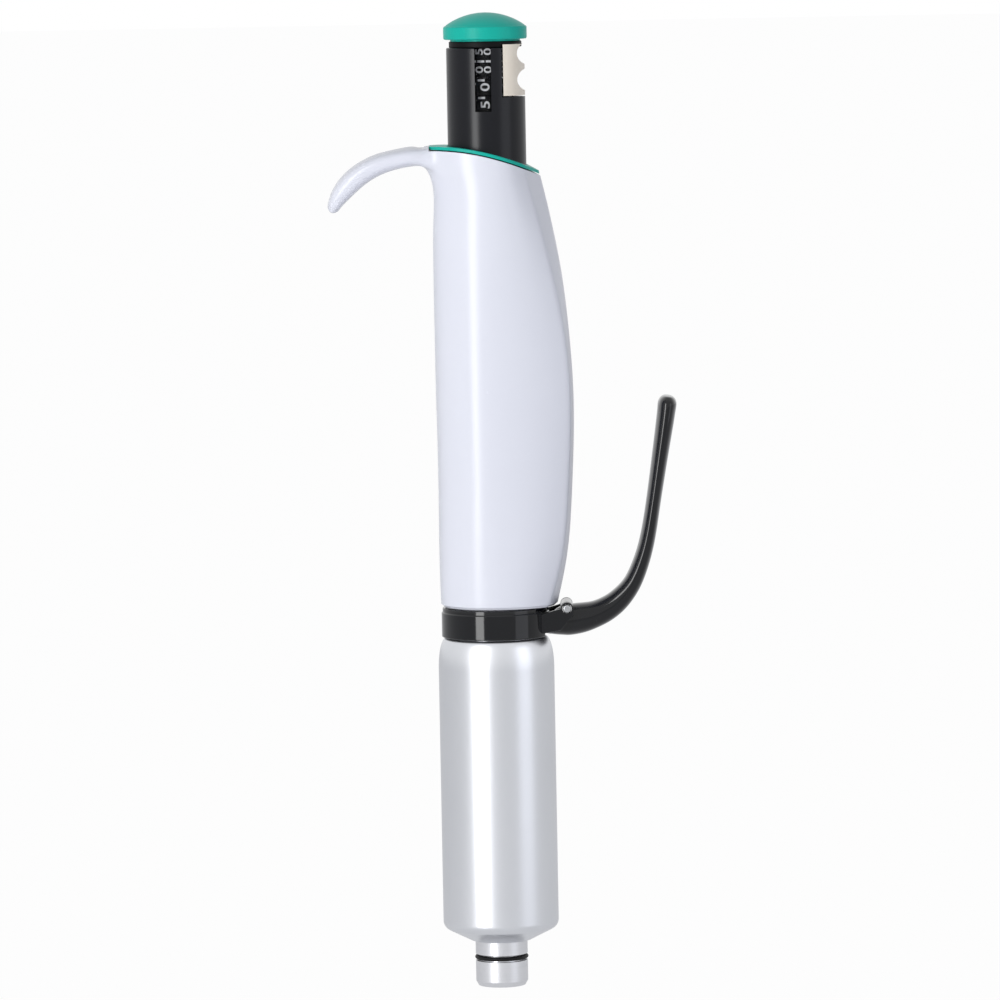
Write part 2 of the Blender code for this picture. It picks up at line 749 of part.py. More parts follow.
def ejector_sleeve():
    """Drawn sleeve over the cylinder: a round shoulder on top and a shallow cone with a hole below."""
    inner_r = SLEEVE_R - SLEEVE_WALL
    neck_in_r = SLEEVE_NECK_R - SLEEVE_WALL
    corner_z = SLEEVE_END_Z + SLEEVE_CONE
    shoulder_z = SLEEVE_SHOULDER_TOP - SLEEVE_SHOULDER
    knee_z = SLEEVE_SHOULDER_TOP - SLEEVE_KNEE_DROP
    top_r = COLLAR_R - SLEEVE_TOP_INSET
    sleeve = turned("ejector_sleeve", [
        (SLEEVE_NECK_R, SLEEVE_TOP),
        (SLEEVE_NECK_R, SLEEVE_SHOULDER_TOP),
        (top_r, SLEEVE_SHOULDER_TOP, 0.4),
        (SLEEVE_R - SLEEVE_KNEE_INSET, knee_z, SLEEVE_SHOULDER_FILLET),
        (SLEEVE_R, shoulder_z),
        (SLEEVE_R, corner_z, SLEEVE_CORNER_R),
        (SLEEVE_HOLE_R, SLEEVE_END_Z),
        (SLEEVE_HOLE_R, SLEEVE_END_Z + SLEEVE_WALL),
        (inner_r, corner_z + SLEEVE_WALL / 2, SLEEVE_CORNER_R - SLEEVE_WALL),
        (inner_r, shoulder_z),
        (inner_r - SLEEVE_KNEE_INSET, knee_z),
        (top_r - SLEEVE_KNEE_INSET, SLEEVE_SHOULDER_TOP - SLEEVE_WALL),
        (neck_in_r, SLEEVE_SHOULDER_TOP - SLEEVE_WALL),
        (neck_in_r, SLEEVE_TOP - SLEEVE_PLATE),
        (SLEEVE_PLATE_HOLE_R, SLEEVE_TOP - SLEEVE_PLATE),
        (SLEEVE_PLATE_HOLE_R, SLEEVE_TOP),
    ], FINE_SEGMENTS)
    finish(sleeve, "#C9CDD2", 0.35, 1.0)
    spring = coil(
        "ejector_spring", EJECT_COIL_R, EJECT_WIRE_R, CAP_TOP + GAP, SLEEVE_TOP - SLEEVE_PLATE - GAP, 4
    )
    finish(spring, "#B4B7BA", 0.3, 1.0)


def swivel_collar():
    """Ring that turns on the handle's spigot, open below for the fork, with two lugs for the lever."""
    lip_in_r = SPIGOT_R + GAP
    collar = turned("swivel_collar", [
        (COLLAR_R - COLLAR_LIP_INSET, COLLAR_TOP, COLLAR_LIP_INSET / 2),
        (COLLAR_R - COLLAR_LIP_INSET, COLLAR_TOP - COLLAR_LIP),
        (COLLAR_R, COLLAR_TOP - COLLAR_LIP - COLLAR_LIP_INSET, COLLAR_LIP_INSET / 2),
        (COLLAR_R, COLLAR_BOTTOM, COLLAR_EDGE),
        (COLLAR_IN_R, COLLAR_BOTTOM),
        (COLLAR_IN_R, COLLAR_TOP - COLLAR_LIP),
        (lip_in_r, COLLAR_TOP - COLLAR_LIP),
        (lip_in_r, COLLAR_TOP),
    ], FINE_SEGMENTS)
    lug_in = LEVER_ROOT_HALF + GAP
    lug_out = lug_in + LUG_THICKNESS
    lugs = wall_between("collar_lugs", [
        (COLLAR_IN_R - LUG_ROOT, COLLAR_TOP - COLLAR_LIP - COLLAR_EDGE),
        (COLLAR_IN_R - LUG_ROOT, COLLAR_BOTTOM + LUG_FOOT),
        (PIVOT_X - HUB_R, COLLAR_BOTTOM + 2 * LUG_FOOT),
        (PIVOT_X + HUB_R, PIVOT_Z - HUB_R),
    ] + [
        (PIVOT_X + HUB_R * math.cos(a), PIVOT_Z + HUB_R * math.sin(a))
        for a in (math.pi * k / 6 for k in range(0, 6))
    ] + [(PIVOT_X - HUB_R, PIVOT_Z - HUB_R * 0.4)], lug_out, CUTTERS)
    combine(collar, lugs, "UNION")
    slot = block(
        "collar_slot",
        (0, -lug_in, COLLAR_BOTTOM - OVER),
        (PIVOT_X + REACH, lug_in, COLLAR_TOP - COLLAR_SLOT_TOP),
        CUTTERS,
    )
    combine(collar, slot)
    yoke = block(
        "collar_yoke_gap",
        (COLLAR_R, -lug_in, COLLAR_BOTTOM - OVER),
        (PIVOT_X + REACH, lug_in, HANDLE_TOP),
        CUTTERS,
    )
    combine(collar, yoke)
    pin_hole = cross_cylinder("collar_pin_hole", PIN_R + GAP, PIVOT_X, PIVOT_Z, REACH, CUTTERS)
    combine(collar, pin_hole)
    finish(collar, "#17181B", 0.2)

    pin = cross_cylinder("pivot_pin", PIN_R, PIVOT_X, PIVOT_Z, lug_out + GAP + PIN_HEAD / 2)
    heads = []
    for side in (-1, 1):
        head = cross_cylinder(f"pin_head_{side}", PIN_HEAD_R, PIVOT_X, PIVOT_Z, PIN_HEAD / 2, CUTTERS)
        head.location.y = side * (lug_out + GAP + PIN_HEAD / 2) * MM
        heads.append(head)
    for head in heads:
        combine(pin, head, "UNION")
    finish(pin, "#C2C4C4", 0.25, 1.0)
    keeper = ring("collar_retaining_ring", RING_R, SPIGOT_R + GAP, RING_TOP - RING_THICKNESS, RING_TOP)
    finish(keeper, "#2B2C2F", 0.4)


def ejector_lever():
    """Curved finger lever on the collar, with a fork inside that pushes the sleeve down."""
    lever = swept("ejector_lever", LEVER_STATIONS, LEVER_SQUARENESS, 2)
    hub = cross_cylinder("lever_hub", HUB_R, PIVOT_X, PIVOT_Z, LEVER_ROOT_HALF, CUTTERS)
    combine(lever, hub, "UNION")
    stem = block(
        "lever_stem",
        (FORK_IN_R + FORK_ROOT, -FORK_STEM_HALF, FORK_BOTTOM),
        (LEVER_STATIONS[0][0] + STEM_OVERLAP, FORK_STEM_HALF, FORK_TOP),
        CUTTERS,
    )
    fork = ring("lever_fork", FORK_OUT_R, FORK_IN_R, FORK_BOTTOM, FORK_TOP, FINE_SEGMENTS, CUTTERS)
    behind = block(
        "behind_fork",
        (-REACH, -REACH, FORK_BOTTOM - OVER),
        (FORK_END_X, REACH, FORK_TOP + OVER),
        CUTTERS,
    )
    combine(fork, behind)
    combine(fork, stem, "UNION")
    combine(lever, fork, "UNION")
    pin_hole = cross_cylinder("lever_pin_hole", PIN_R + GAP, PIVOT_X, PIVOT_Z, REACH, CUTTERS)
    combine(lever, pin_hole)
    finish(lever, "#131417", 0.2)


def handle():
    """Hollow handle with its finger hook, and the plate that covers its top."""
    rows = smooth_rows(HANDLE_STATIONS, 2)
    first = rows[0]
    edge = (
        HANDLE_BOTTOM,
        first[1] - HANDLE_EDGE - HANDLE_EDGE_INSET,
        first[2] - HANDLE_EDGE - HANDLE_EDGE_INSET,
        first[3],
        first[4] - HANDLE_EDGE,
    )
    brim = (
        HANDLE_BOTTOM + HANDLE_EDGE,
        first[1] - HANDLE_BRIM_INSET,
        first[2] - HANDLE_BRIM_INSET,
        first[3],
        first[4] - HANDLE_BRIM_INSET,
    )
    shell = loft("handle_shell", [handle_section(row) for row in [edge, brim] + rows])
    cavity_top = DECK_Z - CAVITY_ROOF
    cavity_rows = [row for row in rows if row[0] < cavity_top]
    bottom_row = (HANDLE_FLOOR_TOP, *cavity_rows[0][1:])
    cavity_rows = [bottom_row] + cavity_rows[1:] + [(cavity_top, *cavity_rows[-1][1:])]
    cavity = loft("handle_cavity", [handle_section(row, HANDLE_WALL) for row in cavity_rows], CUTTERS)
    hook_rows = [(x, z, thick, share * HOOK_HALF_WIDTH) for x, z, thick, share in HOOK_STATIONS]
    hook = swept("finger_hook", hook_rows, HOOK_SQUARENESS, 2, CUTTERS)
    spigot_top = HANDLE_BOTTOM + CAVITY_ROOF
    spigot = disc("handle_spigot", SPIGOT_R, SPIGOT_BOTTOM, spigot_top, FINE_SEGMENTS, CUTTERS)
    bores = turned("handle_bores", [
        (0, HANDLE_TOP + OVER),
        (BARREL_HOLE_R + GAP, HANDLE_TOP + OVER),
        (BARREL_HOLE_R + GAP, BUSH_BOTTOM + BUSH_LENGTH + GAP),
        (FRAME_R + GAP, BUSH_BOTTOM + BUSH_LENGTH + GAP),
        (FRAME_R + GAP, HANDLE_FLOOR_TOP),
        (NECK_THREAD_R + GAP, HANDLE_FLOOR_TOP),
        (NECK_THREAD_R + GAP, SPIGOT_BOTTOM - OVER),
        (0, SPIGOT_BOTTOM - OVER),
    ], FINE_SEGMENTS, CUTTERS, closed=False)
    seat_drop = COVER_THICKNESS + GAP
    roof = wall_between("handle_roof", top_line(COVER_LEFT_X - GAP, REACH, seat_drop, 24) + [
        (REACH, HANDLE_TOP + REACH),
        (COVER_LEFT_X - GAP, HANDLE_TOP + REACH),
    ], REACH, CUTTERS)
    hook_roof = block(
        "hook_roof",
        (-REACH, -REACH, HANDLE_TOP),
        (COVER_LEFT_X, REACH, HANDLE_TOP + REACH),
        CUTTERS,
    )
    combine(shell, hook, "UNION")
    combine(shell, spigot, "UNION")
    combine(shell, cavity)
    combine(shell, bores)
    combine(shell, roof)
    combine(shell, hook_roof)
    finish(shell, "#E6E8F3", 0.15)

    blank_rows = [row for row in rows if row[0] > DECK_Z]
    cover = loft("top_cover", [handle_section(row, COVER_INSET) for row in blank_rows])
    right = HANDLE_STATIONS[-1][2] + OVER
    slab = wall_between(
        "cover_slab",
        top_line(COVER_LEFT_X, right, COVER_THICKNESS) + list(reversed(top_line(COVER_LEFT_X, right, 0.0))),
        REACH,
        CUTTERS,
    )
    hole = disc("cover_hole", BARREL_HOLE_R, DECK_Z - OVER, HANDLE_TOP + OVER, FINE_SEGMENTS, CUTTERS)
    combine(cover, slab, "INTERSECT")
    combine(cover, hole)
    finish(cover, "#1E8F78", 0.3)


def inner_works():
    """Guide tube in the handle, the blowout stage on its spring, and the main spring."""
    frame = turned("inner_frame", [
        (FRAME_R, DECK_Z),
        (FRAME_R, HANDLE_FLOOR_TOP + GAP),
        (FRAME_BORE_R, HANDLE_FLOOR_TOP + GAP),
        (FRAME_BORE_R, FRAME_FLOOR_Z),
        (ROD_R + GAP, FRAME_FLOOR_Z),
        (ROD_R + GAP, FRAME_FLOOR_TOP),
        (FRAME_BORE_R, FRAME_FLOOR_TOP),
        (FRAME_BORE_R, DECK_Z),
    ])
    finish(frame, "#D5D7DA", 0.4)
    bush = ring("guide_bush", FRAME_R, BARREL_HOLE_R, BUSH_BOTTOM, BUSH_BOTTOM + BUSH_LENGTH, FINE_SEGMENTS)
    finish(bush, "#1D1E20", 0.45)
    spring_top = BLOWOUT_SPRING_Z + BLOWOUT_SPRING_LENGTH
    lower = coil("blowout_spring", BLOWOUT_COIL_R, BLOWOUT_WIRE_R, BLOWOUT_SPRING_Z, spring_top, 4)
    finish(lower, "#AEB1B4", 0.3, 1.0)
    plate_r = FRAME_BORE_R - GAP
    plate = ring("blowout_plate", plate_r, ROD_R + GAP, PLATE_BOTTOM, PLATE_TOP, edge=PART_EDGE)
    finish(plate, "#BCBFC2", 0.35, 1.0)
    stop_z = PLATE_TOP + GAP
    stop = ring("stage_stop_ring", plate_r, plate_r - STOP_RING_WIDTH, stop_z, stop_z + STOP_RING)
    finish(stop, "#9A9DA0", 0.35, 1.0)
    seat = ring("spring_seat", plate_r, SPRING_SEAT_HOLE_R, SPRING_SEAT_TOP - SPRING_SEAT, SPRING_SEAT_TOP)
    finish(seat, "#C4C4BE", 0.45)
    main_top = SPRING_SEAT_TOP - SPRING_SEAT - GAP
    main = coil("main_spring", MAIN_COIL_R, MAIN_WIRE_R, PLATE_TOP + GAP, main_top, MAIN_TURNS)
    finish(main, "#B4B7BA", 0.3, 1.0)


def plunger_head():
    """Counter housing with its window and lock, the carrier of the drums, and the travelling stop nut."""
    barrel = turned("counter_housing", [
        (BARREL_R, BARREL_TOP, PART_EDGE),
        (BARREL_R, BARREL_FLANGE_TOP),
        (BARREL_FLANGE_R, BARREL_FLANGE_TOP),
        (BARREL_FLANGE_R, BARREL_BOTTOM),
        (BARREL_BORE_R, BARREL_BOTTOM),
        (BARREL_BORE_R, BARREL_TOP),
    ], FINE_SEGMENTS)
    window = block(
        "window_slot",
        (WINDOW_LEFT_X, -REACH, WINDOW_BOTTOM),
        (WINDOW_RIGHT_X, 0, BARREL_TOP + OVER),
        CUTTERS,
    )
    bay = block(
        "lock_bay",
        (LOCK_LEFT_X - GAP, -REACH, LOCK_BOTTOM - GAP),
        (REACH, REACH, BARREL_TOP + OVER),
        CUTTERS,
    )
    combine(barrel, window)
    combine(barrel, bay)
    finish(barrel, "#1C1D20", 0.35)

    lens_top = BARREL_TOP - LENS_TOP_INSET
    lens_in_r = BARREL_BORE_R + LENS_INSET
    lens = ring("window_lens", BARREL_R - LENS_INSET, lens_in_r, WINDOW_BOTTOM + GAP, lens_top, FINE_SEGMENTS)
    lens_side = block(
        "lens_outline",
        (WINDOW_LEFT_X + GAP, -REACH, WINDOW_BOTTOM - OVER),
        (WINDOW_RIGHT_X - GAP, 0, BARREL_TOP + OVER),
        CUTTERS,
    )
    combine(lens, lens_side, "INTERSECT")
    finish(lens, "#20242A", 0.1)

    lock_in_r = BARREL_BORE_R + LOCK_BACK_GAP
    lock = ring("volume_lock", LOCK_R, lock_in_r, LOCK_BOTTOM, LOCK_TOP, FINE_SEGMENTS, edge=LOCK_EDGE)
    lock_side = block(
        "lock_outline",
        (LOCK_LEFT_X, -REACH, LOCK_BOTTOM - OVER),
        (REACH, REACH, LOCK_TOP + OVER),
        CUTTERS,
    )
    combine(lock, lock_side, "INTERSECT")
    rebate_z = LOCK_TOP - LOCK_REBATE
    rebate = disc("lock_rebate", FINE_FLANGE_R + GAP, rebate_z, LOCK_TOP + OVER, FINE_SEGMENTS, CUTTERS)
    combine(lock, rebate)
    for i in range(SCALLOPS):
        groove = cross_cylinder(
            f"lock_scallop_{i}",
            SCALLOP_R,
            SCALLOP_FLOOR_X + SCALLOP_R,
            SCALLOP_TOP_Z - i * SCALLOP_PITCH,
            REACH,
            CUTTERS,
            32,
        )
        combine(lock, groove)
    finish(lock, "#E8DDD3", 0.4)

    hub_r = DRUM_BORE_R - GAP
    shaft_r = SPINDLE_R + GAP
    room_top = STOP_NUT_HEAD_Z + NUT_HEAD + CARRIER_ROOM
    carrier = turned("drum_carrier", [
        (hub_r, FINE_Z - GAP),
        (hub_r, COUNTER_BOTTOM),
        (DRUM_R, COUNTER_BOTTOM),
        (DRUM_R, CARRIER_FLANGE_TOP),
        (BARREL_FLANGE_R, CARRIER_FLANGE_TOP),
        (BARREL_FLANGE_R, CARRIER_BOTTOM),
        (CARRIER_BORE_R, CARRIER_BOTTOM),
        (CARRIER_BORE_R, room_top),
        (shaft_r, room_top + CARRIER_BORE_R - shaft_r),
        (shaft_r, FINE_Z - GAP),
    ])
    keyway = block(
        "carrier_keyway",
        (-NUT_WING_R - GAP, -NUT_WING_HALF - GAP, CARRIER_BOTTOM - OVER),
        (NUT_WING_R + GAP, NUT_WING_HALF + GAP, STOP_NUT_HEAD_Z + NUT_HEAD + KEYWAY_ROOM),
        CUTTERS,
    )
    combine(carrier, keyway)
    finish(carrier, "#2A2B2E", 0.45)

    stop_nut = turned("stop_nut", [
        (NUT_TUBE_R, STOP_NUT_HEAD_Z + NUT_HEAD),
        (NUT_TUBE_R, STOP_NUT_BOTTOM, PART_EDGE),
        (ROD_R + GAP, STOP_NUT_BOTTOM),
        (ROD_R + GAP, STOP_NUT_HEAD_Z),
        (SPINDLE_R + GAP, STOP_NUT_HEAD_Z),
        (SPINDLE_R + GAP, STOP_NUT_HEAD_Z + NUT_HEAD),
    ], 24)
    for side in (-1, 1):
        low_x, high_x = sorted((side * (NUT_TUBE_R - NUT_WING_ROOT), side * NUT_WING_R))
        wing = block(
            f"nut_wing_{side}",
            (low_x, -NUT_WING_HALF, STOP_NUT_HEAD_Z + NUT_WING_INSET),
            (high_x, NUT_WING_HALF, STOP_NUT_HEAD_Z + NUT_HEAD - NUT_WING_INSET),
            CUTTERS,
        )
        combine(stop_nut, wing, "UNION")
    finish(stop_nut, "#C8A552", 0.3, 1.0)

    for name, bottom in (("ones_drum", ONES_Z), ("tenths_drum", TENTHS_Z)):
        finish(ring(name, DRUM_R, DRUM_BORE_R, bottom, bottom + DRUM_HEIGHT, FINE_SEGMENTS), "#0E0F11", 0.4)


def knob():
    """Button, the threaded spindle under it and the fine drum that turns with it."""
    fine = turned("fine_drum", [
        (FINE_FLANGE_R, FINE_TOP, 0.2),
        (FINE_FLANGE_R, FINE_FLANGE_Z),
        (DRUM_R, FINE_FLANGE_Z),
        (DRUM_R, FINE_Z),
        (DRUM_BORE_R, FINE_Z),
        (DRUM_BORE_R, FINE_TOP - FINE_DRUM_WEB),
        (SPINDLE_R + GAP, FINE_TOP - FINE_DRUM_WEB),
        (SPINDLE_R + GAP, FINE_TOP),
    ], FINE_SEGMENTS)
    finish(fine, "#0E0F11", 0.4)
    spindle = turned("volume_spindle", [
        (0, SPINDLE_TOP),
        (SPINDLE_R, SPINDLE_TOP),
        (SPINDLE_R, ROD_TOP + GAP),
        (SPINDLE_JOURNAL_R, ROD_TOP + GAP),
        (SPINDLE_JOURNAL_R, ROD_TOP - ROD_SOCKET_DEPTH + GAP),
        (0, ROD_TOP - ROD_SOCKET_DEPTH + GAP),
    ], 24, closed=False)
    finish(spindle, "#BDC0C3", 0.25, 1.0)

    rim_top = BUTTON_BOTTOM + BUTTON_RIM
    dome = []
    for i in range(DOME_STEPS):
        angle = math.pi / 2 * i / DOME_STEPS
        dome.append((BUTTON_TOP_R * math.sin(angle), rim_top + BUTTON_DOME * math.cos(angle) ** DOME_POWER))
    button = turned("push_button", dome + [
        (BUTTON_R - BUTTON_STEP, rim_top),
        (BUTTON_R, rim_top - BUTTON_EDGE),
        (BUTTON_R, BUTTON_BOTTOM, BUTTON_EDGE),
        (SPINDLE_R + GAP, BUTTON_BOTTOM),
        (SPINDLE_R + GAP, SPINDLE_TOP + GAP),
        (0, SPINDLE_TOP + GAP),
    ], FINE_SEGMENTS, closed=False)
    finish(button, "#22AF9B", 0.3)


def shade():
    """Smooths the round faces and keeps the real edges sharp."""
    for obj in PARTS.objects:
        if obj.type == "MESH":
            obj.data.shade_smooth()
            obj.data.set_sharp_from_angle(angle=math.radians(35))


def hang_on_pivot(*names):
    """Puts a parent empty on the lever's pivot for the pieces that belong to it."""
    pivot = place("lever_pivot", None)
    pivot.location = (PIVOT_X * MM, 0, PIVOT_Z * MM)
    for name in names:
        piece = bpy.data.objects[name]
        piece.parent = pivot
        piece.matrix_parent_inverse = Matrix.Translation(pivot.location).inverted()


def main():
    """Builds the pipette from the tip up."""
    lower_end()
    piston_group()
    ejector_sleeve()
    swivel_collar()
    ejector_lever()
    hang_on_pivot("ejector_lever", "pivot_pin")
    handle()
    inner_works()
    plunger_head()
    knob()
    shade()


main()
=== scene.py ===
"""Looks of a single-channel pipette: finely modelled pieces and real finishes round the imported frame.

Sizes are in millimetres. The pipette stands along +Z with the end of its tip cone at the origin, its finger hook
towards -X, its ejector lever towards +X and its counter window towards -Y.
"""

import json
import logging
import math
from dataclasses import dataclass, field
from enum import Enum
from functools import cache
from typing import Callable, ClassVar, Iterable, Sequence

import bmesh
import bpy
from mathutils import Matrix, Vector


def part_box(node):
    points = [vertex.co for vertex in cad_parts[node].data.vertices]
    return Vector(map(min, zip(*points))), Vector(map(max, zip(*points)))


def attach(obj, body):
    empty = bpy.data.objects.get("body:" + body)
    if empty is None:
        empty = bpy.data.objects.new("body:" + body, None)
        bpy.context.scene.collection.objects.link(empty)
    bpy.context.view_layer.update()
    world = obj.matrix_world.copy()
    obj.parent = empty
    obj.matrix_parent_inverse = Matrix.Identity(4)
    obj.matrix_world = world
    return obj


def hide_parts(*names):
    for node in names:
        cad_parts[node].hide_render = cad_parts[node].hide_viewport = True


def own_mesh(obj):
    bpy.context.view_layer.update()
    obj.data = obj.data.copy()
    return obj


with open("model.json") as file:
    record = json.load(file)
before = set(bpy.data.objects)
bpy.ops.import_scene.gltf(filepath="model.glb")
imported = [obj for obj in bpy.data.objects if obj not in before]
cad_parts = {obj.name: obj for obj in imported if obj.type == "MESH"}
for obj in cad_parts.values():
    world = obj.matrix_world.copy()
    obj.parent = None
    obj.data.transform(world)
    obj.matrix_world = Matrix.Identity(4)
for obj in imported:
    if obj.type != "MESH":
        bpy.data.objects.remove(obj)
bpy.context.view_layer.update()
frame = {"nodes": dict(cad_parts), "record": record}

LOG = logging.getLogger("pipette")

MM = 0.001
# In millimetres: the play between pieces, how far a cutter stands out, and more than half the pipette's width
GAP = 0.3
OVER = 5.0
REACH = 60.0
# Vertices nearer to each other than this, in metres, become one
MERGE = 0.000002
ROUND_SEGMENTS = 144
ROD_SEGMENTS = 96
SMOOTH_ANGLE = math.radians(32)

Point2 = Sequence[float]
Point3 = tuple[float, float, float]
Piece = bpy.types.Object
Tree = bpy.types.NodeTree
Socket = bpy.types.NodeSocket


class Slot(Enum):
    """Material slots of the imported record, one for each finish."""

    HANDLE = "handle_white"
    TEAL = "teal_plastic"
    BLACK_GLOSS = "black_gloss"
    BLACK_SATIN = "black_satin"
    IVORY = "ivory_plastic"
    SLEEVE = "sleeve_aluminium"
    CONE = "cone_metal"
    STEEL = "steel"
    SPRING = "spring_steel"
    BRASS = "brass"
    NATURAL = "natural_plastic"
    DRUM = "drum_black"
    RUBBER = "black_rubber"
    FILTER = "filter_white"
    WINDOW = "window_clear"


def linear(hex_colour: str) -> tuple[float, float, float, float]:
    """Turns an sRGB hex value into linear light.

    Args:
        hex_colour: The colour, such as "#E6E8F3".

    Returns:
        The linear red, green, blue and an alpha of 1.
    """
    channels = [int(hex_colour[i : i + 2], 16) / 255 for i in (1, 3, 5)]
    red, green, blue = (c / 12.92 if c <= 0.04045 else ((c + 0.055) / 1.055) ** 2.4 for c in channels)
    return red, green, blue, 1.0


def add_node(tree: Tree, kind: str, settings: dict | None = None, links: dict | None = None) -> bpy.types.Node:
    """Adds one shader node with its settings and links.

    Args:
        tree: The node tree that it goes into.
        kind: The node's type, such as "ShaderNodeTexNoise".
        settings: Values for its properties or its input sockets.
        links: The output sockets that feed its inputs.

    Returns:
        The new node.
    """
    node = tree.nodes.new(kind)
    for key, value in (settings or {}).items():
        if isinstance(key, str) and hasattr(node, key):
            setattr(node, key, value)
        else:
            node.inputs[key].default_value = value
    for key, source in (links or {}).items():
        tree.links.new(source, node.inputs[key])
    return node


def maths(tree: Tree, operation: str, first: Socket, second: Socket | float) -> Socket:
    """Adds one maths node.

    Args:
        tree: The node tree that it goes into.
        operation: The node's operation, such as "MAXIMUM".
        first: The first value.
        second: The second value, a socket or a number.

    Returns:
        The result.
    """
    if isinstance(second, float):
        settings, links = {"operation": operation, 1: second}, {0: first}
    else:
        settings, links = {"operation": operation}, {0: first, 1: second}
    return add_node(tree, "ShaderNodeMath", settings, links).outputs[0]


def colour_mix(tree: Tree, first: str, second: str, factor: Socket) -> Socket:
    """Mixes two colours.

    Args:
        tree: The node tree that it goes into.
        first: The colour at factor 0, as a hex value.
        second: The colour at factor 1, as a hex value.
        factor: The share of the second colour.

    Returns:
        The mixed colour.
    """
    first_input, second_input, result = 6, 7, 2
    settings = {"data_type": "RGBA", first_input: linear(first), second_input: linear(second)}
    return add_node(tree, "ShaderNodeMix", settings, {"Factor": factor}).outputs[result]


@dataclass(frozen=True)
class Finish:
    """A surface finish: an even base colour, a second tone in soft patches and a fine relief."""

    name: str
    colour: str
    tone: str
    roughness: float
    roughness_swing: float = 0.04
    metallic: float = 0.0
    ior: float = 1.5
    specular: float = 0.5
    coat: float = 0.0
    coat_roughness: float = 0.05
    alpha: float = 1.0
    patch_mm: float = 9.0
    relief_mm: float = 0.4
    relief_height_mm: float = 0.004
    stretch: Point3 = (1.0, 1.0, 1.0)

    def material(self) -> bpy.types.Material:
        """Builds the node material.

        Returns:
            The material, ready to be put on a piece.
        """
        made = bpy.data.materials.new(self.name)
        made.use_nodes = True
        tree = made.node_tree
        shader = tree.nodes["Principled BSDF"]
        shader.inputs["Metallic"].default_value = self.metallic
        if not self.metallic:
            shader.inputs["IOR"].default_value = self.ior
            shader.inputs["Specular IOR Level"].default_value = self.specular
        shader.inputs["Coat Weight"].default_value = self.coat
        shader.inputs["Coat Roughness"].default_value = self.coat_roughness
        shader.inputs["Alpha"].default_value = self.alpha
        place = add_node(tree, "ShaderNodeTexCoord").outputs["Object"]
        place = add_node(tree, "ShaderNodeMapping", {"Scale": self.stretch}, {"Vector": place}).outputs["Vector"]
        patches, relief = (
            add_node(
                tree, "ShaderNodeTexNoise", {"Scale": 1 / (size * MM), "Detail": detail, "Roughness": rough},
                {"Vector": place},
            ).outputs["Fac"]
            for size, detail, rough in ((self.patch_mm, 4.0, 0.6), (self.relief_mm, 3.0, 0.7))
        )
        tree.links.new(colour_mix(tree, self.colour, self.tone, patches), shader.inputs["Base Color"])
        ends = {"To Min": self.roughness - self.roughness_swing, "To Max": self.roughness + self.roughness_swing}
        swing = add_node(tree, "ShaderNodeMapRange", ends, {"Value": patches})
        tree.links.new(swing.outputs["Result"], shader.inputs["Roughness"])
        depth = {"Strength": 1.0, "Distance": self.relief_height_mm * MM}
        bump = add_node(tree, "ShaderNodeBump", depth, {"Height": relief})
        tree.links.new(bump.outputs["Normal"], shader.inputs["Normal"])
        return made


# Rings round the axis: the pattern changes fast with height and slowly across it, as a lathe tool leaves it
TURNED = (0.12, 0.12, 3.0)

